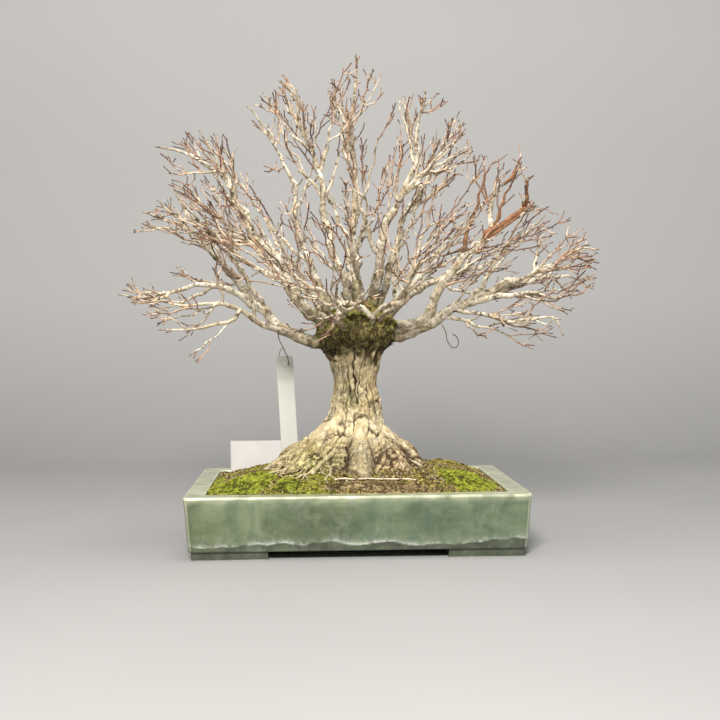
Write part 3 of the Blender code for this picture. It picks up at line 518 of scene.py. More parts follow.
LIMBS = {
    "left_low": (10.5, 2.6, [
        (-14, 0, 250), (-40, 2, 244), (-64, 5, 249), (-86, 8, 260), (-108, 12, 281), (-128, 16, 299),
        (-142, 20, 320), (-170, 26, 351), (-198, 32, 379), (-243, 40, 400), (-262, 44, 405)]),
    "left_low_tip": (6.5, 2.0, [
        (-108, 12, 281), (-132, 10, 295), (-166, 8, 313), (-189, 10, 313), (-230, 16, 305),
        (-252, 20, 298), (-289, 22, 301)]),
    "left_under": (5.5, 1.8, [
        (-64, 5, 249), (-98, -8, 258), (-119, -20, 268), (-136, -32, 281), (-158, -44, 288),
        (-196, -60, 286), (-228, -66, 290)]),
    "left_droop": (3.2, 1.5, [
        (-136, -32, 281), (-148, -44, 267), (-170, -56, 262), (-196, -66, 257), (-228, -72, 258)]),
    "left_high": (10.5, 2.4, [
        (-16, -8, 250), (-38, -12, 263), (-55, -16, 280), (-68, -20, 294), (-80, -24, 312),
        (-92, -28, 341), (-101, -32, 357), (-120, -36, 371), (-128, -38, 393), (-138, -40, 408),
        (-145, -42, 432), (-158, -45, 446), (-189, -50, 461), (-232, -54, 473)]),
    "left_high_fork": (5.0, 1.8, [
        (-80, -24, 312), (-98, -36, 330), (-112, -42, 350), (-126, -48, 362), (-150, -54, 370),
        (-182, -60, 374)]),
    "upper_left": (6.8, 2.0, [
        (-18, 8, 262), (-36, 14, 290), (-42, 18, 306), (-52, 22, 337), (-61, 26, 362), (-70, 32, 404),
        (-71, 38, 443), (-86, 44, 470), (-107, 50, 512), (-118, 54, 526)]),
    "top_left": (7.2, 1.8, [
        (-4, -8, 268), (-6, -14, 309), (-26, -20, 351), (-31, -24, 385), (-36, -28, 414),
        (-46, -32, 467), (-59, -36, 486), (-65, -40, 505), (-67, -42, 532), (-87, -46, 552)]),
    "leader": (8.6, 1.6, [
        (4, 8, 268), (6, 12, 300), (5, 14, 325), (3, 14, 388), (3, 12, 438), (3, 8, 478), (1, 5, 512),
        (5, 3, 550), (8, 0, 590)]),
    "top_right": (8.4, 1.8, [
        (16, -4, 262), (26, -8, 300), (33, -14, 348), (42, -20, 384), (54, -26, 413), (65, -30, 432),
        (74, -34, 456), (74, -36, 480), (79, -38, 504), (88, -40, 528)]),
    "top_right_fork": (4.6, 1.8, [
        (54, -26, 413), (78, -40, 437), (98, -50, 452), (126, -60, 463)]),
    "upper_right": (7.4, 1.8, [
        (20, 10, 264), (38, 20, 300), (50, 28, 336), (60, 36, 376), (74, 44, 406), (88, 50, 428),
        (110, 58, 474), (134, 64, 508)]),
    "right_inner": (4.6, 1.6, [
        (34, -10, 264), (64, -20, 292), (67, -26, 311), (78, -34, 345), (84, -40, 373), (108, -46, 389)]),
    "right_high": (8.6, 2.2, [
        (48, -6, 256), (87, -14, 270), (101, -20, 296), (115, -26, 321), (129, -32, 337),
        (140, -38, 349), (156, -44, 359), (165, -48, 375), (185, -52, 389), (202, -54, 403),
        (203, -56, 425), (214, -58, 437)]),
    "right_high_fork": (4.0, 1.8, [
        (165, -48, 375), (164, -40, 398), (174, -34, 428), (192, -28, 440), (205, -24, 466)]),
    "right_low": (10.5, 2.4, [
        (22, -2, 250), (56, -5, 252), (77, -8, 260), (98, -14, 268), (120, -20, 281), (141, -26, 288),
        (162, -32, 300), (187, -38, 312), (213, -44, 321), (235, -50, 331), (253, -54, 343),
        (268, -58, 352), (289, -62, 350)]),
    "right_low_mid": (5.0, 1.8, [
        (162, -32, 300), (196, -26, 308), (230, -18, 316), (254, -12, 321), (286, -6, 314)]),
    "right_low_front": (5.0, 1.8, [
        (141, -26, 288), (178, -44, 294), (201, -58, 297), (222, -70, 294), (241, -80, 292),
        (266, -90, 299)]),
    "right_droop": (3.4, 1.4, [
        (120, -20, 281), (150, -40, 276), (172, -55, 270), (190, -66, 264), (210, -78, 269),
        (228, -88, 268), (236, -94, 258), (240, -96, 248)]),
    "right_under": (3.2, 1.4, [
        (98, -14, 268), (121, -20, 269), (140, -26, 266), (163, -32, 258), (190, -38, 246)]),
    "right_back": (7.0, 1.8, [
        (30, 10, 258), (66, 24, 292), (112, 40, 320), (178, 62, 340), (197, 70, 357), (217, 76, 371),
        (240, 84, 390), (262, 92, 402)]),
    "front_arch": (4.0, 1.6, [
        (18, -34, 262), (22, -50, 273), (0, -62, 283), (-30, -78, 292), (-39, -90, 302),
        (-76, -112, 310), (-110, -130, 322)]),
    "front_arch_fork": (2.9, 1.5, [
        (22, -50, 273), (34, -62, 283), (58, -80, 292), (70, -92, 330), (84, -104, 337),
        (104, -118, 350)]),
    "front_left": (6.0, 1.8, [
        (-12, -16, 256), (-36, -50, 284), (-58, -84, 314), (-80, -120, 346), (-98, -152, 380)]),
    "front": (6.0, 1.8, [
        (2, -18, 262), (8, -56, 298), (-2, -92, 340), (10, -126, 382), (6, -160, 420)]),
    "front_right": (6.0, 1.8, [
        (16, -16, 256), (44, -52, 280), (66, -86, 308), (92, -122, 336), (112, -154, 366)]),
    "front_low": (6.4, 1.8, [
        (-2, -18, 252), (-20, -66, 264), (-14, -110, 278), (-26, -158, 292), (-20, -219, 306)]),
    "back_left": (7.4, 1.8, [
        (-12, 14, 254), (-40, 46, 285), (-66, 84, 318), (-92, 122, 352), (-112, 156, 386),
        (-128, 180, 414)]),
    "back": (7.4, 1.8, [
        (2, 16, 260), (6, 54, 296), (-4, 92, 340), (8, 126, 384), (0, 160, 424), (6, 186, 452)]),
    "back_right": (7.4, 1.8, [
        (16, 14, 254), (48, 48, 280), (76, 86, 312), (106, 120, 340), (132, 152, 372),
        (146, 176, 396)]),
    "back_low": (7.0, 1.8, [
        (0, 18, 250), (-14, 64, 262), (-8, 108, 276), (-20, 158, 290), (-14, 219, 304)]),
}

# How far the twigs reach: direction (degrees from +X towards up) and share of the dome's size.
CROWN_REACH = [
    (-90, 0.55), (-12, 0.70), (1, 0.88), (12, 1.05), (16, 1.08), (22, 1.07), (29, 1.03), (35, 0.91),
    (39, 0.90),
    (44, 0.98), (49, 0.97), (53, 0.84), (57, 0.84), (62, 0.90), (72, 0.94), (77, 0.90), (80, 0.84),
    (84, 0.95),
    (88, 1.01), (92, 0.99), (97, 0.86), (101, 0.86), (105, 0.98), (110, 0.95), (115, 0.91), (118, 0.82),
    (121, 0.84), (126, 0.98), (133, 1.03), (137, 1.05), (142, 0.90), (146, 0.92), (151, 1.0), (163, 0.98),
    (169, 0.98), (179, 0.82), (192, 0.70), (270, 0.55),
]
REDDISH = ("right_high", "right_high_fork")
SLIM = {"front_left": 0.7, "front": 0.66, "front_right": 0.7, "front_low": 0.7, "back_left": 0.85,
        "back": 0.85,
        "back_right": 0.85, "back_low": 0.85, "right_low": 0.92, "left_low": 0.94, "left_high": 0.94,
        "right_back": 0.85, "left_low_tip": 0.85, "upper_left": 0.9, "upper_right": 0.9, "leader": 0.9}
TWIG_SIZE = {2: 1.95, 3: 1.15}
# Thin shoots that hang under the two lowest limbs: their routes and radius.
HANGING = [
    ([(108, -18, 262), (113, -20, 252), (114, -21, 243), (119, -22, 235), (125, -22, 234), (128, -21, 240),
      (126, -20, 247), (121, -20, 250)], 0.6),
    ([(-92, 8, 262), (-92, 6, 252), (-90, 4, 243), (-86, 3, 236), (-84, 3, 230), (-80, 2, 222),
      (-79, 2, 213)], 0.6),
    ([(-86, 3, 236), (-90, 2, 230), (-91, 2, 224)], 0.5),
]
WHITISH = ("front_arch",)

CUSHIONS = {
    "moss_left_front": (-134, -76, 40, 36, 5.0),
    "moss_root_front": (-80, -98, 13, 15, 4.5),
    "moss_right_front": (132, -72, 33, 38, 5.0),
    "moss_right_back": (126, 46, 30, 32, 4.5),
    "moss_back": (34, 99, 58, 12, 4.0),
    "dry_moss_front": (16, -108.5, 62, 7, 3.0),
}


# ---------------------------------------------------------------- noise and lines

PICK = np.random.default_rng(11)
SHUFFLE = PICK.permutation(256)
LEVELS = PICK.uniform(-1, 1, 256)


def cloud(points, size, seed=0):
    """Smooth noise from -1 to 1 at each point, in lumps of about size."""
    place = np.asarray(points, float) / size + seed * 17.31
    cell = np.floor(place).astype(np.int64)
    part = place - cell
    part = part * part * (3 - 2 * part)
    total = np.zeros(place.shape[:-1])
    for i in (0, 1):
        for j in (0, 1):
            for k in (0, 1):
                a = SHUFFLE[(cell[..., 0] + i) & 255]
                b = SHUFFLE[(a + cell[..., 1] + j) & 255]
                c = SHUFFLE[(b + cell[..., 2] + k) & 255]
                wx = part[..., 0] if i else 1 - part[..., 0]
                wy = part[..., 1] if j else 1 - part[..., 1]
                wz = part[..., 2] if k else 1 - part[..., 2]
                total += wx * wy * wz * LEVELS[c]
    return total


def rough_cloud(points, size, seed=0):
    return cloud(points, size, seed) + 0.5 * cloud(points, size / 2.1, seed + 3) + 0.25 * cloud(points,
            size / 4.3, seed + 5)


def step_up(value, low, high):
    """0 below low, 1 above high, and smooth between."""
    share = np.clip((np.asarray(value, float) - low) / (high - low), 0, 1)
    return share * share * (3 - 2 * share)


def smooth_line(points, spacing):
    """Catmull-Rom curve through the points, in steps of about spacing."""
    nodes = [Vector(point) for point in points]
    ends = [nodes[0] * 2 - nodes[1], *nodes, nodes[-1] * 2 - nodes[-2]]
    line = []
    for a, b, c, d in zip(ends, ends[1:], ends[2:], ends[3:]):
        steps = max(1, round((c - b).length / spacing))
        for step in range(steps):
            t = step / steps
            line.append(
                0.5 * (2 * b + (c - a) * t + (2 * a - 5 * b + 4 * c - d) * t * t + (3 * b - a - 3 * c + d)
                       * t**3)
            )
    line.append(nodes[-1])
    return line


def resample(line, spacing):
    """The same polyline in even steps of about spacing."""
    line = np.asarray(line, float)
    run = np.concatenate([[0], np.cumsum(np.linalg.norm(np.diff(line, axis=0), axis=1))])
    wanted = np.linspace(0, run[-1], max(3, int(run[-1] / spacing) + 1))
    return np.stack([np.interp(wanted, run, line[:, axis]) for axis in range(line.shape[1])], 1)


# ---------------------------------------------------------------- ground


def soil_height(x, y):
    out = ((abs(x) * 2 / OPENING_WIDTH) ** 3 + (abs(y) * 2 / OPENING_DEPTH) ** 3) ** (1 / 3)
    rise = max(0.0, 1 - out * out) ** 0.8
    lumps = 1.6 * noise.noise(Vector((x, y, 0)) / 38)
    return POT_HEIGHT - 2.3 + 27.5 * rise + lumps * min(1.0, 4 * rise)


def ground_height(xy):
    return np.array([soil_height(x, y) for x, y in np.asarray(xy, float)])


def greenness(xy):
    """How mossy the ground is at each point, from 0 (bare) to 1 (lush)."""
    xy = np.asarray(xy, float)
    x, y = xy[:, 0], xy[:, 1]
    flat = np.stack([x, y, np.zeros(len(x))], 1)
    left = step_up(-x, 8, 34) * (1 - step_up(y, 10, 66) * 0.6)
    right = step_up(x, 78, 104) * (1 - step_up(y, -40, 5) * 0.65) * (1 - step_up(x, 148, 166) * 0.55)
    back = step_up(y, 74, 92) * 0.5
    amount = np.maximum(np.maximum(left, right), back)
    return np.clip(amount * (0.72 + 0.55 * cloud(flat, 34, 3)) + 0.40 * rough_cloud(flat, 13, 2) - 0.02, 0, 1)


def ground_relief(xy, green):
    """How far granules, crumbs and moss lumps stand above the mound's smooth surface."""
    flat = np.column_stack([xy, np.zeros(len(xy))])
    grains = rough_cloud(flat, 4.0, 101) * 0.8 + cloud(flat, 1.8, 102) * 0.45
    clods = np.maximum(rough_cloud(flat, 11, 103), 0) * 1.6
    lumps = (np.sqrt(np.clip(cloud(flat, 9.5, 104) + 0.45, 0, 1.45)) * 2.6
             + np.maximum(cloud(flat, 4.4, 105), 0) * 1.2 - 1.2)
    return grains * (1 - 0.5 * green) + clods * (1 - green) + lumps * green, grains


# ---------------------------------------------------------------- trunk


def root_swell(degrees, z):
    """The roots' swell at the trunk's foot, as in the CAD, with roots that bend a little on the way down."""
    share = np.clip((150 - z) / 55, 0, 1)
    swell = np.full_like(degrees, -4.0)
    for number, (direction, width, height) in enumerate(ROOTS):
        bend = 6 * np.sin((150 - z) / 17 + number * 1.9) * step_up(130 - z, 0, 40)
        off = (degrees - direction - bend + 180) % 360 - 180
        swell += height * 1.15 * np.exp(-((off / width) ** 2) * 2.2)
    return swell * share


def trunk_profile(spacing):
    rows = [section for section in TRUNK if section[0] >= 58] + [(290, 4, 10, 10), (291, 4, 0.6, 0.6)]
    rows = np.array(rows, float)
    nodes = np.vstack([rows[0] * 2 - rows[1], rows, rows[-1] * 2 - rows[-2]])
    fine = []
    for a, b, c, d in zip(nodes, nodes[1:], nodes[2:], nodes[3:]):
        for t in np.linspace(0, 1, 12, endpoint=False):
            fine.append(0.5 * (2 * b + (c - a) * t + (2 * a - 5 * b + 4 * c - d) * t * t
                               + (3 * b - a - 3 * c + d) * t**3))
    fine.append(rows[-1])
    fine = np.array(fine)
    fine[:, 2:] = np.maximum(fine[:, 2:], 0.5)
    run = np.concatenate([[0], np.cumsum(np.hypot(np.diff(fine[:, 0]), np.diff(fine[:, 2])))])
    wanted = np.linspace(0, run[-1], int(run[-1] / spacing))
    return np.stack([np.interp(wanted, run, fine[:, k]) for k in range(4)], 1)


def trunk_point(degrees, z, out=0.0):
    """A point on the trunk's smooth surface."""
    rows = np.array(TRUNK, float)
    middle, half_width, half_depth = [np.interp(z, rows[:, 0], rows[:, k]) for k in (1, 2, 3)]
    angle = math.radians(degrees)
    swell = root_swell(np.array([float(degrees)]), np.array([float(z)]))[0]
    x = middle + (half_width + swell + out) * math.cos(angle)
    y = (half_depth + swell + out) * math.sin(angle)
    return x, y


def bark_cells(points, sizes, seed, squeeze):
    """For each point: its distance to the nearest edge between bark plates, its plate's own value, and
    how level that edge lies."""
    draw = np.random.default_rng(seed)
    stretched = points * np.array([1.0, 1.0, squeeze])
    picks = draw.choice(len(points), sizes, replace=False)
    seeds = stretched[picks] + draw.normal(0, 1.2, (sizes, 3))
    tree = KDTree(sizes)
    for index, seed_point in enumerate(seeds):
        tree.insert(seed_point, index)
    tree.balance()
    warp = np.stack([cloud(points, 9, 21), cloud(points, 9, 22), cloud(points, 9, 23)], 1) * 2.4
    warp += np.stack([cloud(points, 3.2, 24), cloud(points, 3.2, 25), cloud(points, 3.2, 26)], 1) * 1.0
    edge = np.empty(len(points))
    plate = np.empty(len(points))
    level = np.empty(len(points))
    values = draw.uniform(0, 1, sizes)
    for index, place in enumerate(stretched + warp * np.array([1, 1, squeeze])):
        (first, one, near), (second, _, far) = tree.find_n(place, 2)
        edge[index] = far - near
        plate[index] = values[one]
        apart = second - first
        level[index] = abs(apart.z) / max(apart.length, 1e-6)
    return edge, plate, level


def turn_apart(degrees, other):
    return (degrees - other + 180) % 360 - 180


def make_trunk():
    rows = trunk_profile(1.1)
    sides = 340
    angle = np.linspace(0, 2 * math.pi, sides, endpoint=False)
    degrees = np.degrees(angle)
    z = rows[:, 0][:, None] + np.zeros(sides)
    turn = degrees[None, :] + np.zeros((len(rows), 1))
    swell = root_swell(turn, z)
    size = rows[:, 2][:, None]
    fade = np.clip(size / 18, 0, 1)
    x = rows[:, 1][:, None] + (size + swell) * np.cos(angle)
    y = (rows[:, 3][:, None] + swell) * np.sin(angle)
    base = np.stack([x, y, z], -1)
    upward, outward = np.gradient(rows[:, 0]), np.gradient(rows[:, 2])
    slope = outward / np.maximum(np.hypot(upward, outward), 1e-6)
    flat = np.sqrt(np.clip(1 - slope * slope, 0, 1))[:, None]
    normal = np.stack([flat * np.cos(angle), flat * np.sin(angle), -slope[:, None] + 0 * angle], -1)
    points = base.reshape(-1, 3)
    heights = points[:, 2]
    turns = turn.reshape(-1)
    head = step_up(heights, 228, 244)
    foot = 1 - step_up(heights, 104, 138)

    # Long plates parted by cracks that run up and down, and small flakes on them.
    edge, plate, level = bark_cells(points, 230, 5, 0.24)
    keep = np.clip(0.66 + 1.4 * cloud(points, 17, 31), 0.0, 1.0) * (1 - 0.93 * level)
    keep *= (1 - head) * (1 - foot * 0.85)
    crack = np.exp(-((edge / 1.05) ** 2)) * keep
    flake_edge, flake, _ = bark_cells(points, 1700, 9, 0.5)
    flake_crack = (np.exp(-((flake_edge / 0.7) ** 2)) * np.clip(0.4 + cloud(points, 12, 32), 0, 1)
                   * (1 - foot * 0.6))
    raised = (step_up(edge, 0.2, 4.0) * (0.3 + 1.0 * plate) - 0.9) * (1 - foot)

    # Folds that run down the flare and spread with it.
    run = np.concatenate([[0], np.cumsum(np.hypot(np.diff(rows[:, 0]), np.diff(rows[:, 2])))])
    down = (run[:, None] + 0 * angle).reshape(-1)
    around = np.radians(turns)
    unrolled = np.stack([np.cos(around) * 3, np.sin(around) * 3, down / 26], 1)
    bent = around + 0.16 * cloud(unrolled, 1.0, 33)
    bent = bent + 0.05 * cloud(points, 7, 34)

    def folds(share, length, seed):
        place = np.stack([np.cos(bent) * share, np.sin(bent) * share, down / length], 1)
        return 1 - np.abs(cloud(place, 1.0, seed)) * 2.4

    wide, thin, hair = folds(5.5, 60, 35), folds(13, 34, 36), folds(30, 16, 37)
    boss = (np.exp(-((turn_apart(turns, 278) / 9.5) ** 4)) * step_up(heights, 80, 90)
            * (1 - step_up(heights, 116, 134)))
    rib = np.exp(-((turn_apart(turns, 259) / 5.5) ** 2)) * (1 - step_up(heights, 118, 130))
    moat = np.exp(-((turn_apart(turns, 266.5) / 2.2) ** 2)) + np.exp(-((turn_apart(turns, 291) / 2.4) ** 2))
    moat *= (1 - step_up(heights, 112, 130))
    rough = foot * (1 - boss * 0.55)
    gnarl = (wide * 2.2 + thin * 1.9 + hair * 0.9 - 1.9) * rough
    gnarl += boss * 5.5 + rib * (2.5 + 1.6 * np.sin(heights * 1.15)) - moat * 3.5
    pits = rough_cloud(points, 4.2, 43) + 0.6 * cloud(points * np.array([1, 1, 0.6]), 1.7, 47)
    lump = rough_cloud(points * np.array([1, 1, 0.6]), 26, 44) * 1.3
    knobs = (np.maximum(rough_cloud(points, 11, 45), -0.3) * 4.6 - 0.8) * head
    out = (raised * 1.2 - crack * 3.0 - flake_crack * 0.7 + (flake - 0.5) * 0.6 + pits * 0.5
           + lump + knobs + gnarl)
    placed = base + normal * (out.reshape(z.shape) * fade)[..., None]
    count = len(rows)
    shape = placed.reshape(-1, 3)
    patches = step_up(rough_cloud(shape, 11, 51), -0.3, 0.45)
    left_front = np.exp(-((turn_apart(turns, 234) / 32) ** 2)) * (1 - step_up(heights, 108, 130))
    sheen = np.exp(-((turn_apart(turns, 256) / 24) ** 2)) * np.exp(-(((heights - 180) / 34) ** 2)) * 0.62
    green = np.clip(left_front * (0.3 + 0.7 * patches) + sheen * patches, 0, 0.9)
    # Above a ragged border under the head the bark takes the moss look, which carries painted shade where it
    # faces down.
    border = heights + 13 * rough_cloud(shape, 13, 53) + 9 * cloud(shape * np.array([1, 1, 0.3]), 5, 54)
    ragged = step_up(border, 216, 232)
    # Painted shade: creases, cracks, flake edges and the channels beside the boss are darkened in colour as
    # well as cut into the relief.
    creases = step_up(-(thin + 0.8 * hair) + 1.6 * cloud(shape, 2.6, 55), -0.55, 0.15) * rough * 0.85
    groove = np.clip(crack * 1.7 + flake_crack * 0.6 + creases + moat * 0.7, 0, 0.96)
    brown = foot * (1 - 0.35 * boss) * (0.66 + 0.5 * rough_cloud(shape, 9, 52))
    brown = np.clip(brown * (0.8 + 0.4 * step_up(shape[:, 0], 0, 50)), 0, 0.95)
    extra = {"groove": groove, "green": green, "tint": plate * 0.7 + boss * 0.3, "brown": brown,
             "moss": ragged}
    skin = Skin()
    top = (count - 1) * sides
    caps = [[top + i, top + (i + 1) % sides, count * sides] for i in range(sides)]
    shape = np.vstack([shape, placed[-1].mean(0) + [0, 0, 0.2]])
    extra = {name: np.append(value, value[-1]) for name, value in extra.items()}
    skin.add(shape, sheet_quads(count, sides, True), caps, **extra)
    return skin.build("tree_trunk", TRUNK_BARK)


def add_root(skin, route, thick, green, draw, bumps=0.12):
    """A root along a route of (x, y, z), thin at both ends."""
    line = resample([tuple(point) for point in smooth_line(route, 5.0)], 1.8)
    share = np.linspace(0, 1, len(line))
    shift = np.stack([cloud(line, 6, seed) for seed in (61, 62, 63)], 1) * 0.8
    line = line + shift
    radii = thick * np.clip(np.minimum(share / 0.2, (1 - share) / 0.3), 0.3, 1)
    radii = radii * (1 + bumps * cloud(line, 4.5, draw.randint(1, 99)))
    ring = tube_points(line, radii, 12)
    groove = step_up(cloud(ring, 3.2, 64), 0.3, 0.8) * 0.5
    mossy = np.clip(green * (0.55 + 0.7 * cloud(line, 8, 65)), 0, 0.9)
    add_tube(skin, line, radii[:, None] * (1 + 0.07 * cloud(ring, 2.6, 66)), 12, groove=groove, green=mossy,
             tint=draw.uniform(0.2, 0.9), brown=draw.uniform(0.15, 0.8), moss=0.0)


def make_roots():
    """Surface roots that wind down the trunk's flare, and rootlets that run out over the moss."""
    draw = random.Random(73)
    skin = Skin()
    for number in range(26):
        start = 222 + number * 360 / 26 + draw.uniform(-5, 5)
        if abs(turn_apart(start, 278)) < 16:
            continue
        thick = draw.uniform(1.8, 3.6)
        high = draw.uniform(98, 122)
        swing, phase = draw.uniform(2, 6), draw.uniform(0, 6.3)
        route = []
        for step in range(8):
            share = step / 7
            z = high + (74 - high) * share
            x, y = trunk_point(start + swing * math.sin(phase + share * 5), z, -thick * 0.25)
            route.append((x, y, z))
        left = math.exp(-((turn_apart(start, 232) / 34) ** 2))
        add_root(skin, route, thick, left, draw)
    for number in range(15):
        start = draw.uniform(205, 258)
        x, y = trunk_point(start, draw.uniform(88, 97), 0.5)
        heading = math.radians(start + draw.uniform(-35, 35))
        route = [(x, y, soil_height(x, y) + 7)]
        for step in range(4):
            heading += draw.uniform(-0.7, 0.7)
            x += 9 * math.cos(heading)
            y += 9 * math.sin(heading)
            if abs(x) > OPENING_WIDTH / 2 - 6 or abs(y) > OPENING_DEPTH / 2 - 6:
                break
            route.append((x, y, soil_height(x, y) + draw.uniform(1.5, 3.2)))
        if len(route) > 2:
            add_root(skin, route, draw.uniform(0.7, 1.6), 0.35, draw)
    return skin.build("tree_roots", TRUNK_BARK)


# ---------------------------------------------------------------- crown


def crown_share(point):
    x, y, z = point
    return math.sqrt((x / CROWN[0]) ** 2 + (y / CROWN[1]) ** 2 + ((z - CROWN_BASE) / CROWN[2]) ** 2)


REACH_TABLE = np.array(CROWN_REACH, float)


def crown_reach(point):
    """How far out the twigs may go in a point's direction, as a share of the dome."""
    x, _, z = point
    degrees = math.degrees(math.atan2(z - CROWN_BASE, x))
    if degrees < -90:
        degrees += 360
    wave = 0.03 * noise.noise(Vector(point) / 30)
    return float(np.interp(degrees, REACH_TABLE[:, 0], REACH_TABLE[:, 1])) + wave


def side_branches(name, line, radii):
    """The limb's side branches, drawn as in the CAD."""
    draw = random.Random(name)
    length = sum((b - a).length for a, b in zip(line, line[1:]))
    count = max(1, round(length / 70))
    turn = draw.uniform(0, 2 * math.pi)
    for number in range(count):
        share = 0.34 + 0.6 * (number + draw.uniform(0.1, 0.9)) / count
        at = min(len(line) - 2, int(share * (len(line) - 1)))
        along = (line[at + 1] - line[at]).normalized()
        side = along.orthogonal().normalized()
        side.rotate(Matrix.Rotation(turn, 3, along))
        turn += math.radians(137.5) + draw.uniform(-0.4, 0.4)
        heading = (along * 0.9 + side * draw.uniform(0.6, 0.9)).normalized()
        reach = draw.uniform(0.45, 0.75) * (length * (1.05 - share)) + 26
        yield wander(line[at], heading, reach, 20.0, draw), radii[at] * draw.uniform(0.38, 0.52)


def wander(start, heading, reach, stride, draw):
    points = [start.copy()]
    zig = heading.orthogonal().normalized()
    zig.rotate(Matrix.Rotation(draw.uniform(0, 2 * math.pi), 3, heading))
    for number in range(max(2, round(reach / stride))):
        outward = Vector((points[-1].x, points[-1].y, 1.2 * (points[-1].z - CROWN_BASE))).normalized()
        kick = zig * (0.2 if number % 2 else -0.2)
        heading = (heading + outward * 0.12 + kick + Vector((0, 0, 0.05))).normalized()
        step = points[-1] + heading * stride * draw.uniform(0.8, 1.2)
        if crown_share(step) > 0.97:
            break
        points.append(step)
    return points


class Shoot:
    """One limb, branch or twig: its line (mm), radii, and what it looks like."""

    def __init__(self, line, radii, tint, kind, level):
        self.line = np.asarray(line, float)
        self.radii = np.asarray(radii, float)
        self.tint = tint
        self.kind = kind
        self.level = level


def kinked(line, radii, spacing, size, draw):
    """The line bent at uneven intervals, as a branch is at each old bud, and thicker at each bend."""
    run = np.concatenate([[0], np.cumsum(np.linalg.norm(np.diff(line, axis=0), axis=1))])
    bends = [0.0]
    while bends[-1] < run[-1]:
        bends.append(bends[-1] + spacing * draw.uniform(0.6, 1.5))
    shifts = np.array([[draw.gauss(0, 1) for _ in range(3)] for _ in bends]) * size
    shifts[0] = 0
    moved = line + np.stack([np.interp(run, bends, shifts[:, axis]) for axis in range(3)], 1)
    near = np.abs(run[:, None] - np.array(bends)[None, 1:]).min(1)
    return moved, radii * (0.95 + 0.16 * np.exp(-((near / 2.6) ** 2)))


def limb_shoots(draw):
    limbs, branches = [], []
    for name, (first, last, points) in LIMBS.items():
        coarse = smooth_line(points, 30.0)
        count = len(coarse) - 1
        coarse_radii = [last + (first - last) * (1 - i / count) ** 0.9 for i in range(count + 1)]
        fine = resample(smooth_line(points, 3.0), 2.4)
        share = np.linspace(0, 1, len(fine))
        slim = 0.88 * SLIM.get(name, 1.0)
        end = min(last, 1.0)
        radii = slim * (end + (first - end) * (1 - share) ** (0.8 if name in REDDISH else 0.95))
        run = share * 2.4 * len(fine)
        collar = 0.18 * first * np.exp(-((run / (first * 2.0)) ** 2))
        knots = 0.10 * cloud(fine, 17, 71) + 0.07 * cloud(fine, 6, 72)
        fine, radii = kinked(fine, radii, 17.0, min(2.2, 0.9 + first * 0.13), draw)
        kind = "reddish" if name in REDDISH else "whitish" if name in WHITISH else ""
        limbs.append(Shoot(fine, radii * (1 + knots) + collar, draw.random(), kind, 0))
        for route, radius in side_branches(name, coarse, coarse_radii):
            if len(route) < 3 or radius < 0.95:
                continue
            line = resample([tuple(point) for point in route], 2.4)
            part = np.linspace(0, 1, len(line))
            size = 0.8 + (radius - 0.8) * (1 - part) ** 1.1
            run = part * 2.4 * len(line)
            flare = 0.28 * radius * np.exp(-((run / (radius * 2.0)) ** 2))
            size = size * (1 + 0.12 * cloud(line, 8, 76)) + flare
            line, size = kinked(line, size, 10.5, 1.5, draw)
            branches.append(Shoot(line, size, draw.random(), kind, 1))
    return limbs, branches


def twig_route(start, heading, reach, stride, draw):
    """An angular route that turns at a node every stride or so."""
    points = [Vector(start)]
    heading = Vector(heading).normalized()
    zig = heading.orthogonal().normalized()
    zig.rotate(Matrix.Rotation(draw.uniform(0, 2 * math.pi), 3, heading))
    run = 0.0
    number = 0
    while run < reach:
        here = points[-1]
        outward = Vector((here.x, here.y, 0.9 * (here.z - CROWN_BASE))).normalized()
        kick = zig * (draw.uniform(0.1, 0.75) if number % 2 else -draw.uniform(0.1, 0.75))
        zig.rotate(Matrix.Rotation(draw.uniform(-1.0, 1.0), 3, heading))
        heading = (heading + outward * 0.22 + kick + Vector((0, 0, 0.04))).normalized()
        step = here + heading * stride * draw.uniform(0.55, 1.4)
        if crown_share(step) > crown_reach(step):
            break
        run += (step - here).length
        points.append(step)
        number += 1
    return points


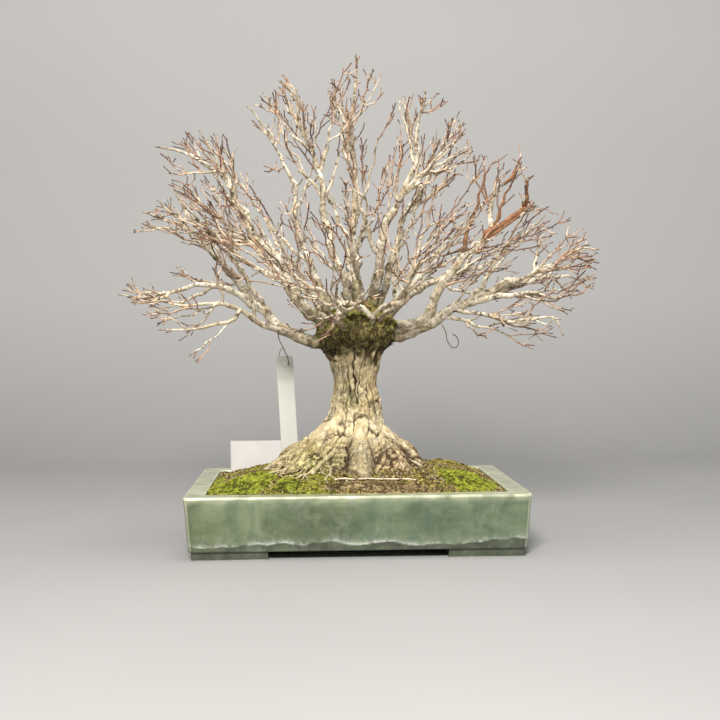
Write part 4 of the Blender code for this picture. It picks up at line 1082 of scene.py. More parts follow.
def twigs_from(shoot, draw, spacing, level, reach, stride, first_share):
    """Twigs that leave a shoot in turn, all round, and a few at its tip."""
    line = shoot.line
    steps = np.linalg.norm(np.diff(line, axis=0), axis=1)
    run = np.concatenate([[0], np.cumsum(steps)])
    at = run[-1] * first_share + draw.uniform(0, spacing)
    turn = draw.uniform(0, 2 * math.pi)
    made = []
    spots = []
    while at < run[-1] - 2:
        spots.append((at, False))
        if draw.random() < 0.22:
            spots.append((at, False))
        at += spacing * draw.uniform(0.5, 1.6)
    spots += [(run[-1] - 0.5, True)] * draw.choice((1, 2, 2, 3))
    for at, is_tip in spots:
        index = min(int(np.searchsorted(run, at)), len(line) - 2)
        start = Vector(line[index])
        share = crown_share(start)
        if not is_tip and draw.random() > 0.12 + 0.88 * share:
            continue
        along = Vector(line[index + 1] - line[max(0, index - 1)]).normalized()
        side = along.orthogonal().normalized()
        side.rotate(Matrix.Rotation(turn, 3, along))
        turn += math.radians(137.5) + draw.uniform(-0.7, 0.7)
        lean = draw.uniform(0.25, 0.8) if is_tip else draw.uniform(0.6, 1.5)
        heading = (along + side * lean).normalized()
        room = max(0.0, crown_reach(start) - share)
        long = draw.uniform(*reach) * (0.6 + 1.0 * min(room, 0.5))
        route = twig_route(start, heading, long, stride, draw)
        if len(route) < 2:
            continue
        size = draw.uniform(0.72, 1.08)
        thick = min(shoot.radii[index] * 0.8, size * TWIG_SIZE[level])
        thin = 0.72 if level == 2 else 0.60
        nodes = np.array([tuple(point) for point in route])
        full = np.empty((len(nodes) * 3 - 2, 3))
        full[0::3] = nodes
        full[1::3] = nodes[:-1] * 0.72 + nodes[1:] * 0.28
        full[2::3] = nodes[:-1] * 0.28 + nodes[1:] * 0.72
        part = np.linspace(0, 1, len(full))
        radii = thin + max(0.0, thick - thin) * (1 - part) ** 0.9
        radii[0::3] *= 1.24
        radii[0] *= 1.25
        tint = min(1.0, max(0.0, 0.16 + 0.40 * shoot.tint + draw.gauss(0.18, 0.34)))
        made.append(Shoot(full, radii, tint, shoot.kind, level))
    return made


def add_shoot(skin, shoot, sides, buds, draw):
    line, radii = shoot.line, shoot.radii
    share = np.linspace(0, 1, len(line))
    if shoot.level >= 2:
        age = np.clip((radii - 0.9) / 0.8, 0, 1) * (0.2 if shoot.kind == "reddish" else 0.9)
        dark = draw.choice((0.2, 0.65, 0.9, 1.0)) * step_up(share, draw.uniform(0.25, 0.7), 1.0)
        add_tube(skin, line, radii, sides, age=age, tint=shoot.tint, tip=dark)
        for index in range(3, len(line), 3):
            if index == len(line) - 1 or draw.random() < 0.7:
                add_bud(buds, line, index, radii[index], draw)
        return
    age = np.ones(len(line))
    if shoot.kind == "reddish":
        age = 1 - step_up(share, 0.60, 0.64) if shoot.level == 0 else age * 0.0
    end = step_up(share, 0.9, 1.0) * 0.6
    ring = tube_points(line, radii, sides)
    streaks = cloud(ring * np.array([1.0, 1.0, 0.6]), 6.0, 82) + 0.7 * cloud(ring, 2.8, 83)
    groove = step_up(streaks, 0.40, 0.95) * 0.9
    if shoot.kind:
        groove = groove * 0.25
    around = radii[:, None] * (1 + 0.07 * cloud(ring, 3.0, 84) + 0.07 * cloud(ring, 7.5, 85) - 0.07 * groove)
    low = step_up(crown_share_all(line), 0.30, 0.10)
    # Painted shade: limbs deep inside the crown are darkened in patches, through the same value as their dark
    # streaks.
    shaded = (step_up(crown_share_all(line), 0.42, 0.14)[:, None]
              * np.clip(0.55 + 1.3 * cloud(ring, 7, 89), 0, 1))
    groove = np.maximum(groove, shaded * 0.75 * (0.3 if shoot.kind == "whitish" else 1.0))
    green = (np.clip(low * (0.4 + 0.8 * cloud(line, 10, 86)), 0, 0.8)
             * (0.0 if shoot.kind == "whitish" else 1.0))
    add_tube(skin, line, around, sides, age=age, groove=groove, tint=shoot.tint, tip=end, green=green)


def crown_share_all(points):
    scaled = (points - np.array([0, 0, CROWN_BASE])) / np.array(CROWN)
    return np.linalg.norm(scaled, axis=1)


def add_bud(skin, line, index, radius, draw):
    """A small pointed bud at a node, leaning along the twig."""
    here = line[index]
    along = Vector(here - line[index - 1]).normalized()
    side = along.orthogonal().normalized()
    side.rotate(Matrix.Rotation(draw.uniform(0, 6.283), 3, along))
    last = index == len(line) - 1
    axis = along if last else (along * 0.7 + side).normalized()
    across = axis.orthogonal().normalized()
    other = axis.cross(across)
    wide = max(0.62, radius * 0.95)
    long = wide * draw.uniform(2.2, 3.4)
    root = Vector(here) + (Vector((0, 0, 0)) if last else side * radius * 0.4)
    points = [root]
    for turn in range(5):
        angle = turn * 2 * math.pi / 5
        points.append(root + axis * long * 0.42 + (across * math.cos(angle) + other * math.sin(angle)) * wide)
    points.append(root + axis * long)
    faces = []
    for turn in range(5):
        after = (turn + 1) % 5
        faces.append((0, 1 + after, 1 + turn))
        faces.append((6, 1 + turn, 1 + after))
    skin.add(points, None, faces, age=0.0, tint=draw.random() * 0.7, tip=draw.uniform(0.2, 0.9))


def add_scar(skin):
    """The callus where a limb was cut off: a ring of pale wood round a dark middle."""
    middle = np.array([148.0, -42.0, 355.0])
    axis = np.array([-0.35, -0.62, 0.70])
    axis /= np.linalg.norm(axis)
    across = np.cross(axis, [0, 0, 1])
    across /= np.linalg.norm(across)
    other = np.cross(axis, across)
    rings, groove = [], []
    for radius, rise in ((7.6, -6.0), (8.4, -2.0), (8.0, 1.2), (6.6, 2.6), (5.0, 2.3), (3.8, 0.9),
                         (2.6, -0.6), (0.4, -0.9)):
        angle = np.linspace(0, 2 * math.pi, 28, endpoint=False)
        spoke = np.cos(angle)[:, None] * across + np.sin(angle)[:, None] * other
        ring = middle + axis * rise + radius * spoke
        ring = ring + axis * 0.7 * cloud(ring, 4, 87)[:, None] + 0.5 * cloud(ring, 3, 88)[:, None]
        rings.append(ring)
        groove += [0.95 if radius < 4.2 else 0.05] * 28
    skin.add(np.concatenate(rings), sheet_quads(8, 28, True), None, age=1.0, groove=groove, tint=0.1,
             tip=0.0, green=0.0)


def make_crown():
    draw = random.Random(4071)
    limbs, branches = limb_shoots(draw)
    seconds = []
    for shoot in limbs:
        seconds += twigs_from(shoot, draw, 31.0, 2, (26, 80), 11.5, 0.28)
    for shoot in branches:
        seconds += twigs_from(shoot, draw, 25.0, 2, (20, 66), 10.5, 0.20)
    thirds = []
    for shoot in seconds:
        thirds += twigs_from(shoot, draw, 19.0, 3, (8, 28), 8.0, 0.25)
    for route, radius in HANGING:
        line = resample([tuple(point) for point in smooth_line(route, 2.0)], 2.5)
        thirds.append(Shoot(line, np.full(len(line), radius), 0.0, "", 3))
    made = []
    for name, shoots, sides in (("tree_limbs", limbs, 20), ("tree_branches", branches, 11)):
        skin = Skin()
        for shoot in shoots:
            add_shoot(skin, shoot, sides, None, draw)
        if shoots is limbs:
            add_scar(skin)
        made.append(skin.build(name, LIMB_BARK))
    buds = Skin()
    halves = {"tree_twigs_left": Skin(), "tree_twigs_right": Skin(), "tree_fine_left": Skin(),
              "tree_fine_right": Skin()}
    for shoot in seconds:
        side = "left" if shoot.line[0][0] < 0 else "right"
        add_shoot(halves["tree_twigs_" + side], shoot, 6, buds, draw)
    for shoot in thirds:
        side = "left" if shoot.line[0][0] < 0 else "right"
        add_shoot(halves["tree_fine_" + side], shoot, 5, buds, draw)
    for name, skin in halves.items():
        made.append(skin.build(name, TWIG_BARK))
    made.append(buds.build("tree_buds", TWIG_BARK, smooth=True))
    return made, limbs


# ---------------------------------------------------------------- moss


MOSS_GREEN = moss_material("moss_look", (0.045, 0.050, 0.007), (0.21, 0.24, 0.018), (0.64, 0.69, 0.09))
MOSS_OLIVE = moss_material("olive_moss_look", (0.050, 0.040, 0.010), (0.22, 0.18, 0.030), (0.68, 0.58, 0.16))
MOSS_HEAD = moss_material("head_moss_look", (0.022, 0.018, 0.007), (0.27, 0.235, 0.040), (0.80, 0.72, 0.22))
MOSS_DRY = moss_material("dry_moss_look", (0.075, 0.045, 0.020), (0.27, 0.185, 0.075), (0.70, 0.55, 0.29))


def add_blades(skin, feet, ups, heights, widths, draw, spread, bright=1.0):
    """Short three-sided leaves, one at each foot, each leaning its own way; bright lightens their tips."""
    count = len(feet)
    lean = draw.normal(0, spread, (count, 3))
    axis = ups + lean
    axis /= np.linalg.norm(axis, axis=1, keepdims=True)
    across = np.cross(axis, draw.normal(0, 1, (count, 3)))
    across /= np.maximum(np.linalg.norm(across, axis=1, keepdims=True), 1e-6)
    other = np.cross(axis, across)
    points = np.empty((count, 4, 3))
    for corner in range(3):
        angle = corner * 2 * math.pi / 3
        side = across * math.cos(angle) + other * math.sin(angle)
        points[:, corner] = feet + side * widths[:, None] - axis * heights[:, None] * 0.2
    points[:, 3] = feet + axis * heights[:, None]
    start = np.arange(count)[:, None] * 4
    faces = np.concatenate([start + [0, 1, 3], start + [1, 2, 3], start + [2, 0, 3]])
    tip = np.zeros((count, 4))
    tip[:, 3] = bright
    tint = np.repeat(draw.uniform(0, 1, count), 4)
    skin.add(points.reshape(-1, 3), None, faces, tip=tip.ravel(), tint=tint)


def cushion_height(name, xy):
    """How high a moss cushion rises over the soil at each point; below zero outside it."""
    x0, y0, half_x, half_y, thickness = CUSHIONS[name]
    dx, dy = xy[:, 0] - x0, xy[:, 1] - y0
    flat = np.stack([xy[:, 0], xy[:, 1], np.zeros(len(xy))], 1)
    out = np.hypot(dx / half_x, dy / half_y) * (1 + 0.16 * cloud(flat, 17, 91) + 0.10 * cloud(flat, 6, 92))
    dome = np.clip(1 - out**2.2, 0, 1) ** 0.75
    humps = 1 + 0.55 * cloud(flat, 9, 93) + 0.34 * cloud(flat, 3.8, 94)
    return np.where(out < 1, thickness * 0.9 * dome * humps, -1.0)


def make_cushion(name, material, dense):
    x0, y0, half_x, half_y, _ = CUSHIONS[name]
    draw = np.random.default_rng(abs(int(x0 * 31 + y0 * 7)) + 5)
    rings, sides = 26, 120
    angle = np.linspace(0, 2 * math.pi, sides, endpoint=False)
    grid = []
    for ring in range(rings):
        share = 1.06 * (1 - ring / (rings - 1)) ** 0.85 + 0.004
        grid.append(np.stack([x0 + half_x * share * np.cos(angle), y0 + half_y * share * np.sin(angle)], 1))
    xy = np.concatenate(grid)
    xy[:, 0] = np.clip(xy[:, 0], -OPENING_WIDTH / 2 + 1, OPENING_WIDTH / 2 - 1)
    xy[:, 1] = np.clip(xy[:, 1], -OPENING_DEPTH / 2 + 1, OPENING_DEPTH / 2 - 1)
    high = cushion_height(name, xy)
    flat = np.stack([xy[:, 0], xy[:, 1], high * 0], 1)
    fine = 0.5 * cloud(flat, 1.6, 95) + 0.8 * rough_cloud(flat, 4.2, 96)
    z = ground_height(xy) + np.where(high > 0, high + fine, -1.5)
    skin = Skin()
    skin.add(np.column_stack([xy, z]), sheet_quads(rings, sides, True), None,
             tip=np.clip(0.25 + high / 8, 0, 0.6),
             tint=0.5)
    count = int(dense * half_x * half_y * math.pi)
    spots = draw.uniform(-1.05, 1.05, (count * 2, 2)) * [half_x, half_y] + [x0, y0]
    inside = (np.abs(spots[:, 0]) < OPENING_WIDTH / 2 - 1.5) & (np.abs(spots[:, 1]) < OPENING_DEPTH / 2 - 1.5)
    spots = spots[inside]
    rise = cushion_height(name, spots)
    spots, rise = spots[rise > 0], rise[rise > 0]
    feet = np.column_stack([spots, ground_height(spots) + rise])
    ups = np.tile([0.0, 0.0, 1.0], (len(feet), 1))
    heights = draw.uniform(0.9, 2.4, len(feet))
    add_blades(skin, feet, ups, heights, draw.uniform(0.28, 0.5, len(feet)), draw, 0.42)
    made = skin.build(name + "_leaves", material, smooth=False)
    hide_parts(name)
    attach(made, "root")
    return made


def outside_trunk(xy, z, room):
    rows = np.array(TRUNK, float)
    middle, half_width, half_depth = [np.interp(z, rows[:, 0], rows[:, k]) for k in (1, 2, 3)]
    return ((xy[:, 0] - middle) / (half_width + room)) ** 2 + (xy[:, 1] / (half_depth + room)) ** 2 > 1


def make_soil():
    """The soil's top as a fine relief of granules, with its sides and bottom inside the pot."""
    width, depth = OPENING_WIDTH - SOIL_GAP, OPENING_DEPTH - SOIL_GAP
    columns, rows = SOIL_COLUMNS, SOIL_ROWS
    x = np.linspace(-width / 2, width / 2, columns)
    y = np.linspace(-depth / 2, depth / 2, rows)
    gx, gy = np.meshgrid(x, y)
    xy = np.stack([gx.ravel(), gy.ravel()], 1)
    z = ground_height(xy)
    green = greenness(xy)
    relief, grains = ground_relief(xy, green)
    edge = np.minimum(width / 2 - np.abs(xy[:, 0]), depth / 2 - np.abs(xy[:, 1]))
    z = z + relief * step_up(edge, 0, 4) - 0.6
    depth_shade = step_up(-(grains + 0.15), 0.0, 0.9) * 0.85
    skin = Skin()
    skin.add(np.column_stack([xy, z]), sheet_quads(rows, columns, False), None, green=green * 0.9,
             depth=depth_shade,
             pale=0.0)
    ring = [(i, 0) for i in range(columns)] + [(columns - 1, j) for j in range(1, rows)]
    ring += [(i, rows - 1) for i in range(columns - 2, -1, -1)] + [(0, j) for j in range(rows - 2, 0, -1)]
    index = np.array([j * columns + i for i, j in ring])
    top = np.column_stack([xy, z])[index]
    under = top.copy()
    under[:, 2] = SOIL_UNDER_LIP
    belly = top * SOIL_SPREAD
    belly[:, 2] = SOIL_BOTTOM
    middle = np.array([[0, 0, SOIL_BOTTOM]])
    count = len(index)
    wall = np.vstack([top, under, belly, middle])
    quads = []
    for low in (0, count):
        j = np.arange(count)
        k = (j + 1) % count
        quads.append(np.stack([low + k, low + j, low + count + j, low + count + k], -1))
    fan = [[2 * count + (j + 1) % count, 2 * count + j, 3 * count] for j in range(count)]
    skin.add(wall, np.concatenate(quads), fan, green=0.0, depth=0.3, pale=0.0)
    draw = np.random.default_rng(31)
    spots = draw.uniform(-0.5, 0.5, (16000, 2)) * [width - 6, depth - 6]
    fuzz = greenness(spots)
    spots = spots[draw.uniform(0, 1, len(spots)) > fuzz * 0.85]
    z = ground_height(spots)
    keep = outside_trunk(spots, z, 1.0)
    spots, z = spots[keep][:6500], z[keep][:6500]
    z = z + ground_relief(spots, greenness(spots))[0] - 0.6
    shape = np.array([(0, 0, 1), (1, 0, 0.1), (0, 1, 0), (-1, 0, 0.15), (0, -1, -0.1), (0, 0, -1)], float)
    faces = np.array([(0, 1, 2), (0, 2, 3), (0, 3, 4), (0, 4, 1), (5, 2, 1), (5, 3, 2), (5, 4, 3), (5, 1, 4)])
    for spot, high in zip(spots, z):
        size = abs(draw.normal(0.95, 0.5)) + 0.35
        grain = shape * size * draw.uniform(0.65, 1.25, (6, 3))
        turn = np.array(Matrix.Rotation(draw.uniform(0, 6.28), 3, Vector(draw.normal(0, 1, 3)).normalized()))
        skin.add(grain @ turn.T + [*spot, high + size * 0.25], None, faces, green=draw.uniform(-0.3, 0.5),
                 depth=draw.uniform(-0.4, 0.7), pale=draw.uniform(-1.6, 0.75))
    made = skin.build("soil_top", SOIL)
    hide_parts("soil")
    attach(made, "root")
    return made


def make_ground_moss():
    """The thin uneven moss that covers most of the left, the right end and the back of the soil."""
    draw = np.random.default_rng(57)
    made = []
    for name, material, count in (("ground_moss_bright", MOSS_GREEN, 50000),
                                  ("ground_moss_olive", MOSS_OLIVE, 26000)):
        spots = draw.uniform(-0.5, 0.5, (count * 3, 2)) * [OPENING_WIDTH - 5, OPENING_DEPTH - 5]
        amount = greenness(spots)
        flat = np.column_stack([spots, np.zeros(len(spots))])
        chance = step_up(amount, 0.34, 0.72) * (0.35 + 0.65 * step_up(cloud(flat, 9.5, 104), -0.5, 0.1))
        if material is MOSS_OLIVE:
            chance = step_up(amount, 0.12, 0.4) * step_up(rough_cloud(flat, 9, 112), -0.1, 0.3)
        spots = spots[draw.uniform(0, 1, len(spots)) < chance]
        z = ground_height(spots)
        keep = outside_trunk(spots, z, -3.0)
        spots, z = spots[keep][:count], z[keep][:count]
        feet = np.column_stack([spots, z + ground_relief(spots, greenness(spots))[0] - 0.8])
        ups = np.tile([0.0, 0.0, 1.0], (len(feet), 1))
        skin = Skin()
        add_blades(skin, feet, ups, draw.uniform(0.8, 2.4, len(feet)), draw.uniform(0.35, 0.6, len(feet)),
                   draw, 0.5)
        piece = skin.build(name, material, smooth=False)
        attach(piece, "root")
        made.append(piece)
    return made


def make_head_moss(trunk, limbs):
    """Tufts of moss on the head, on the first of the limbs that leave it, and between the front roots."""
    draw = np.random.default_rng(83)
    mesh = trunk.data
    points = np.empty(len(mesh.vertices) * 3, np.float32)
    mesh.vertices.foreach_get("co", points)
    normals = np.empty(len(mesh.vertices) * 3, np.float32)
    mesh.vertices.foreach_get("normal", normals)
    points = points.reshape(-1, 3) / MM
    normals = normals.reshape(-1, 3)
    chance = step_up(points[:, 2] + 13 * rough_cloud(points, 13, 53), 228, 258)
    chance *= 0.06 + 0.94 * step_up(rough_cloud(points, 8, 121), -0.1, 0.3)
    turns = np.degrees(np.arctan2(points[:, 1], points[:, 0]))
    low_left = np.exp(-((turn_apart(turns, 232) / 26) ** 2)) * (1 - step_up(points[:, 2], 92, 112))
    tufts = step_up(rough_cloud(points, 6, 122), -0.2, 0.3)
    chance = np.maximum(chance, low_left * 0.6 * (points[:, 2] > 82) * tufts)
    picks = np.flatnonzero(draw.uniform(0, 1, len(points)) < chance)
    feet = [points[picks] + draw.normal(0, 0.6, (len(picks), 3))]
    ups = [normals[picks] + [0, 0, 0.4]]
    for shoot in limbs:
        if shoot.kind == "whitish":
            continue
        ring = tube_points(shoot.line, shoot.radii, 20).reshape(-1, 3)
        middle = np.repeat(shoot.line, 20, axis=0)
        out = ring - middle
        out /= np.maximum(np.linalg.norm(out, axis=1, keepdims=True), 1e-6)
        share = np.repeat(crown_share_all(shoot.line), 20)
        chance = step_up(share, 0.34, 0.13) * (0.15 + 0.85 * step_up(out[:, 2], -0.1, 0.5))
        chance *= step_up(rough_cloud(ring, 8, 121), -0.15, 0.3)
        picks = np.flatnonzero(draw.uniform(0, 1, len(ring)) < chance)
        feet.append(np.repeat(ring[picks], 2, axis=0) + draw.normal(0, 0.7, (len(picks) * 2, 3)))
        ups.append(np.repeat(out[picks], 2, axis=0) + [0, 0, 0.4])
    feet, ups = np.concatenate(feet), np.concatenate(ups)
    clump = 0.6 + 0.7 * np.clip(rough_cloud(feet, 6, 123) + 0.3, 0, 1)
    skin = Skin()
    heights = draw.uniform(1.2, 3.8, len(feet)) * clump
    # Painted shade: blades on the head below about 237 to 258 mm keep dark tips, while those above and those
    # low on the trunk's foot get bright ones.
    bright = np.where(feet[:, 2] < 150, 0.8, step_up(feet[:, 2] + 10 * rough_cloud(feet, 9, 124), 237, 258))
    add_blades(skin, feet, ups, heights, draw.uniform(0.35, 0.75, len(feet)), draw, 0.55, bright)
    piece = skin.build("head_moss", MOSS_HEAD, smooth=False)
    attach(piece, "root")
    return piece


# ---------------------------------------------------------------- pot


def rim_ring(width, depth, radius, corner_steps=8):
    """Points and outward directions round a rectangle with rounded corners, close together all round."""
    arcs = []
    for corner, (sx, sy) in enumerate([(1, 1), (-1, 1), (-1, -1), (1, -1)]):
        angle = math.pi / 2 * (corner + np.linspace(0, 1, corner_steps + 1))
        way = np.stack([np.cos(angle), np.sin(angle)], 1)
        arcs.append((way * radius + [sx * (width / 2 - radius), sy * (depth / 2 - radius)], way))
    points, ways = [], []
    for corner, (arc, way) in enumerate(arcs):
        after = arcs[(corner + 1) % 4][0][0]
        steps = 72 if corner % 2 == 0 else 54
        share = np.linspace(0, 1, steps + 1)[1:-1, None]
        points += [arc, arc[-1] + (after - arc[-1]) * share]
        ways += [way, np.tile(way[-1], (steps - 1, 1))]
    return np.concatenate(points), np.concatenate(ways)


def pot_rows():
    """The pot's section, from its outside bottom over the rim to its floor: inset, height and radius."""
    foot, low, high = 9.5, 11.5, POT_HEIGHT - 7
    rows = [(5.7, foot, 5.5), (5.3, foot + 0.15, 6.0), (5.0, foot + 0.8, 7.5)]
    for z in [*np.arange(low, 32, 0.75), *np.arange(32, POT_HEIGHT - 4.8, 1.4)]:
        rows.append((4.9 - 4.15 * (z - low) / (high - low), z, 8.0))
    rows += [(0.62, POT_HEIGHT - 4.4, 8.0), (0.30, POT_HEIGHT - 3.9, 8.0), (0.06, POT_HEIGHT - 3.2, 8.0),
             (0.0, POT_HEIGHT - 2.4, 8.0), (0.12, POT_HEIGHT - 1.5, 8.0), (0.5, POT_HEIGHT - 0.75, 7.8),
             (1.1, POT_HEIGHT - 0.3, 7.4), (1.9, POT_HEIGHT - 0.05, 7.0)]
    for inset in np.arange(3.0, 20.6, 1.2):
        dish = 0.28 * math.sin(math.pi * (inset - 2) / 19)
        rows.append((inset, POT_HEIGHT - dish, 7.0))
    rows += [(21.4, POT_HEIGHT - 0.12, 7.0), (22.3, POT_HEIGHT - 0.6, 7.0), (22.85, POT_HEIGHT - 1.4, 7.0),
             (23.0, POT_HEIGHT - 2.4, 7.0), (23.0, POT_HEIGHT - 3.8, 7.0), (22.6, POT_HEIGHT - 4.7, 7.0),
             (21.6, POT_HEIGHT - 5.0, 7.0), (14.0, POT_HEIGHT - 5.2, 6.0), (9.6, POT_HEIGHT - 6.5, 5.0),
             (8.7, POT_HEIGHT - 9.0, 5.0), (10.2, 45.0, 5.0), (11.6, 28.0, 5.0), (12.6, 21.0, 5.0),
             (14.0, 18.4, 5.0), (16.5, 17.5, 5.0)]
    return rows


def make_pot():
    rows = pot_rows()
    skin_points, crawl, below, edge, top = [], [], [], [], []
    for inset, z, radius in rows:
        ring, way = rim_ring(RIM_WIDTH - 2 * inset, RIM_DEPTH - 2 * inset, radius)
        outside = inset < 6.2 and z < POT_HEIGHT - 3.0
        place = np.column_stack([ring, np.full(len(ring), z)])
        around = np.column_stack([ring, np.zeros(len(ring))])
        line = (17.5 + 6.5 * cloud(around, 64, 131) + 3.0 * cloud(around, 17, 132)
                + 1.3 * cloud(around, 6, 133))
        line = np.maximum(line, 10.8)
        patchy = 0.35 + 0.65 * step_up(rough_cloud(around, 30, 134), -0.4, 0.3)
        haze = np.where(z > line, np.exp(-(z - line) / 2.6), np.exp(-(((line - z) / 0.7) ** 2)))
        near = haze * patchy if outside else np.zeros(len(ring))
        drop = step_up(line - z, 0, 2.0) if outside else np.zeros(len(ring))
        uneven = 0.20 * cloud(place, 42, 135) + 0.10 * cloud(place, 13, 136) + 0.05 * cloud(place, 4, 137)
        out = uneven + near * 0.45 - drop * 0.3
        if z < 12 or inset > 20:
            out = out * 0.4
        if outside or inset < 2:
            place[:, :2] += way * out[:, None]
        else:
            place[:, 2] += uneven * 0.8 * (z > POT_HEIGHT - 3)
        skin_points.append(place)
        # Painted highlight with the glaze's thinning: the corners, the rim's edges and a band fading down the
        # face below the rim get the pale edge colour.
        corner = step_up(np.abs(way[:, 0] * way[:, 1]) * 2, 0.80, 1.0)
        crawl.append(near * 0.85)
        below.append(drop * step_up(rough_cloud(place, 22, 138), -0.9, 0.3))
        inner_edge = 21.0 < inset < 23.0 and z > POT_HEIGHT - 2
        rim = 1.0 if inset < 2.6 and z > POT_HEIGHT - 4.1 else 0.75 if inner_edge else 0.0
        if outside:
            rim = 0.62 * math.exp(-(POT_HEIGHT - 3.6 - z) / 2.4)
        line_here = np.clip(rim * (0.70 + 0.4 * cloud(place, 9, 139)) + corner * 0.40 * (z > 11), 0, 1)
        edge.append(line_here if inset < 6.2 or rim else line_here * 0)
        # Painted light: the lip's flat top is marked to be paler.
        lip = 0.92 if z > POT_HEIGHT - 2.5 and inset >= 1.8 else 0.0
        top.append(np.clip(lip * (0.85 + 0.3 * cloud(place, 24, 140)), 0, 1))
    sides = len(skin_points[0])
    points = np.concatenate(skin_points)
    count = len(rows)
    inner = np.array([[0, 0, rows[-1][1]], [0, 0, rows[0][1]]])
    faces = []
    for j in range(sides):
        k = (j + 1) % sides
        faces.append(((count - 1) * sides + j, (count - 1) * sides + k, count * sides))
        faces.append((k, j, count * sides + 1))
    values = {"crawl": crawl, "below": below, "edge": edge, "top": top}
    values = {name: np.append(np.concatenate(value), [0, 0]) for name, value in values.items()}
    values["below"][-1] = 0.6
    skin = Skin()
    skin.add(np.vstack([points, inner]), sheet_quads(count, sides, True), faces, **values)
    body = skin.build("pot_body", GLAZE)
    drill(body, [(side * 105.0, 0.0) for side in (-1, 1)], 15.0, 0, 40)
    feet = make_feet()
    for piece in (body, feet):
        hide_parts("pot")
        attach(piece, "root")


def drill(piece, places, radius, low, high, axis="Z"):
    """Round holes through a piece, from low to high along Z or Y."""
    for x, other in places:
        bpy.ops.mesh.primitive_cylinder_add(vertices=48, radius=radius * MM, depth=(high - low) * MM)
        cutter = bpy.context.object
        if axis == "Z":
            cutter.location = (x * MM, other * MM, (low + high) / 2 * MM)
        else:
            cutter.location = (x * MM, (low + high) / 2 * MM, other * MM)
            cutter.rotation_euler.x = math.pi / 2
        step = piece.modifiers.new("hole", "BOOLEAN")
        step.operation = "DIFFERENCE"
        step.object = cutter
        bpy.context.view_layer.update()
        graph = bpy.context.evaluated_depsgraph_get()
        mesh = bpy.data.meshes.new_from_object(piece.evaluated_get(graph), preserve_all_data_layers=True,
                                               depsgraph=graph)
        piece.modifiers.remove(step)
        piece.data = mesh
        bpy.data.objects.remove(cutter, do_unlink=True)


def make_feet():
    """Four bracket feet, each with softened edges and inner ends that lean a little."""
    skin = Skin()
    out_x, out_y = (RIM_WIDTH - 9.8) / 2 - 3.9, (RIM_DEPTH - 9.8) / 2 - 3.9
    long, deep, thick = 86.0, 62.0, 28.0
    outline = [(0, 0), (-long, 0), (-long, -thick), (-thick, -thick), (-thick, -deep), (0, -deep)]
    levels = [(0.0, -1.0, 0.9), (0.35, -0.35, 0.4), (1.1, 0.0, 0.0), (4.0, 0.1, -0.6), (8.6, 0.4, -1.4),
              (9.9, 0.9, -2.2)]
    for sx in (-1, 1):
        for sy in (-1, 1):
            rings = []
            for z, grow, lean in levels:
                ring = []
                for i in range(len(outline)):
                    (x1, y1), (x2, y2) = outline[i], outline[(i + 1) % len(outline)]
                    steps = max(2, int(math.hypot(x2 - x1, y2 - y1) / 3))
                    for step in range(steps):
                        share = step / steps
                        ring.append((x1 + (x2 - x1) * share, y1 + (y2 - y1) * share))
                ring = np.array(ring)
                inward = np.array([(1 if x <= -long + 0.1 else 0, 1 if y <= -deep + 0.1 else 0)
                                   for x, y in ring])
                ring = ring + inward * -lean
                middle = np.array([-20.0, -14.0])
                pull = (ring - middle) / np.maximum(np.linalg.norm(ring - middle, axis=1, keepdims=True), 1)
                ring = ring + pull * grow
                rings.append(np.column_stack([sx * (out_x + ring[:, 0]), sy * (out_y + ring[:, 1]),
                                              np.full(len(ring), z)]))
            sides = len(rings[0])
            points = np.concatenate(rings)
            points[:, 0] += 0.12 * cloud(points, 8, 141)
            points[:, 1] += 0.12 * cloud(points, 8, 142)
            corner = np.array([sx * (out_x - 14), sy * (out_y - 14), 0])
            quads = sheet_quads(len(levels), sides, True)
            if sx * sy < 0:
                quads = quads[:, ::-1]
            low_face = [(i, (i + 1) % sides, len(points)) for i in range(sides)]
            if sx * sy < 0:
                low_face = [face[::-1] for face in low_face]
            skin.add(np.vstack([points, corner]), quads, low_face, crawl=0.0, below=0.8, top=0.0,
                     edge=np.append(np.where(points[:, 2] < 0.5, 0.15, 0.0), 0))
    return skin.build("pot_feet", GLAZE)


# ---------------------------------------------------------------- label, card, twig and hidden pieces


def make_plate(name, size, corner, bend, material):
    """A thin upright plate with rounded corners and edges, bent a little along its height or width."""
    width, thickness, height = size
    rows, columns = int(height / 1.5), 28
    grid = []
    for z in np.linspace(0, height, rows):
        near = max(0.0, corner - min(z, height - z))
        half = width / 2 - (corner - math.sqrt(max(0.0, corner**2 - near**2)))
        ring = []
        for step in range(columns):
            ring.append((-half + 2 * half * step / (columns - 1), -thickness / 2))
        for step in range(columns):
            ring.append((half - 2 * half * step / (columns - 1), thickness / 2))
        ring = np.array(ring)
        ring[[0, columns - 1, columns, 2 * columns - 1], 1] *= 0.45
        shift = bend[0] * math.sin(math.pi * z / height) + bend[1] * (ring[:, 0] / width * 2) ** 2
        grid.append(np.column_stack([ring[:, 0], ring[:, 1] + shift, np.full(len(ring), z)]))
    sides = 2 * columns
    points = np.concatenate(grid)
    caps = []
    for low, back in ((0, False), ((rows - 1) * sides, True)):
        for step in range(columns - 1):
            quad = (low + step, low + step + 1, low + sides - 2 - step, low + sides - 1 - step)
            caps.append(quad if not back else quad[::-1])
    skin = Skin()
    skin.add(points, np.concatenate([sheet_quads(rows, sides, True), np.array(caps)]), None)
    return skin.build(name, material)


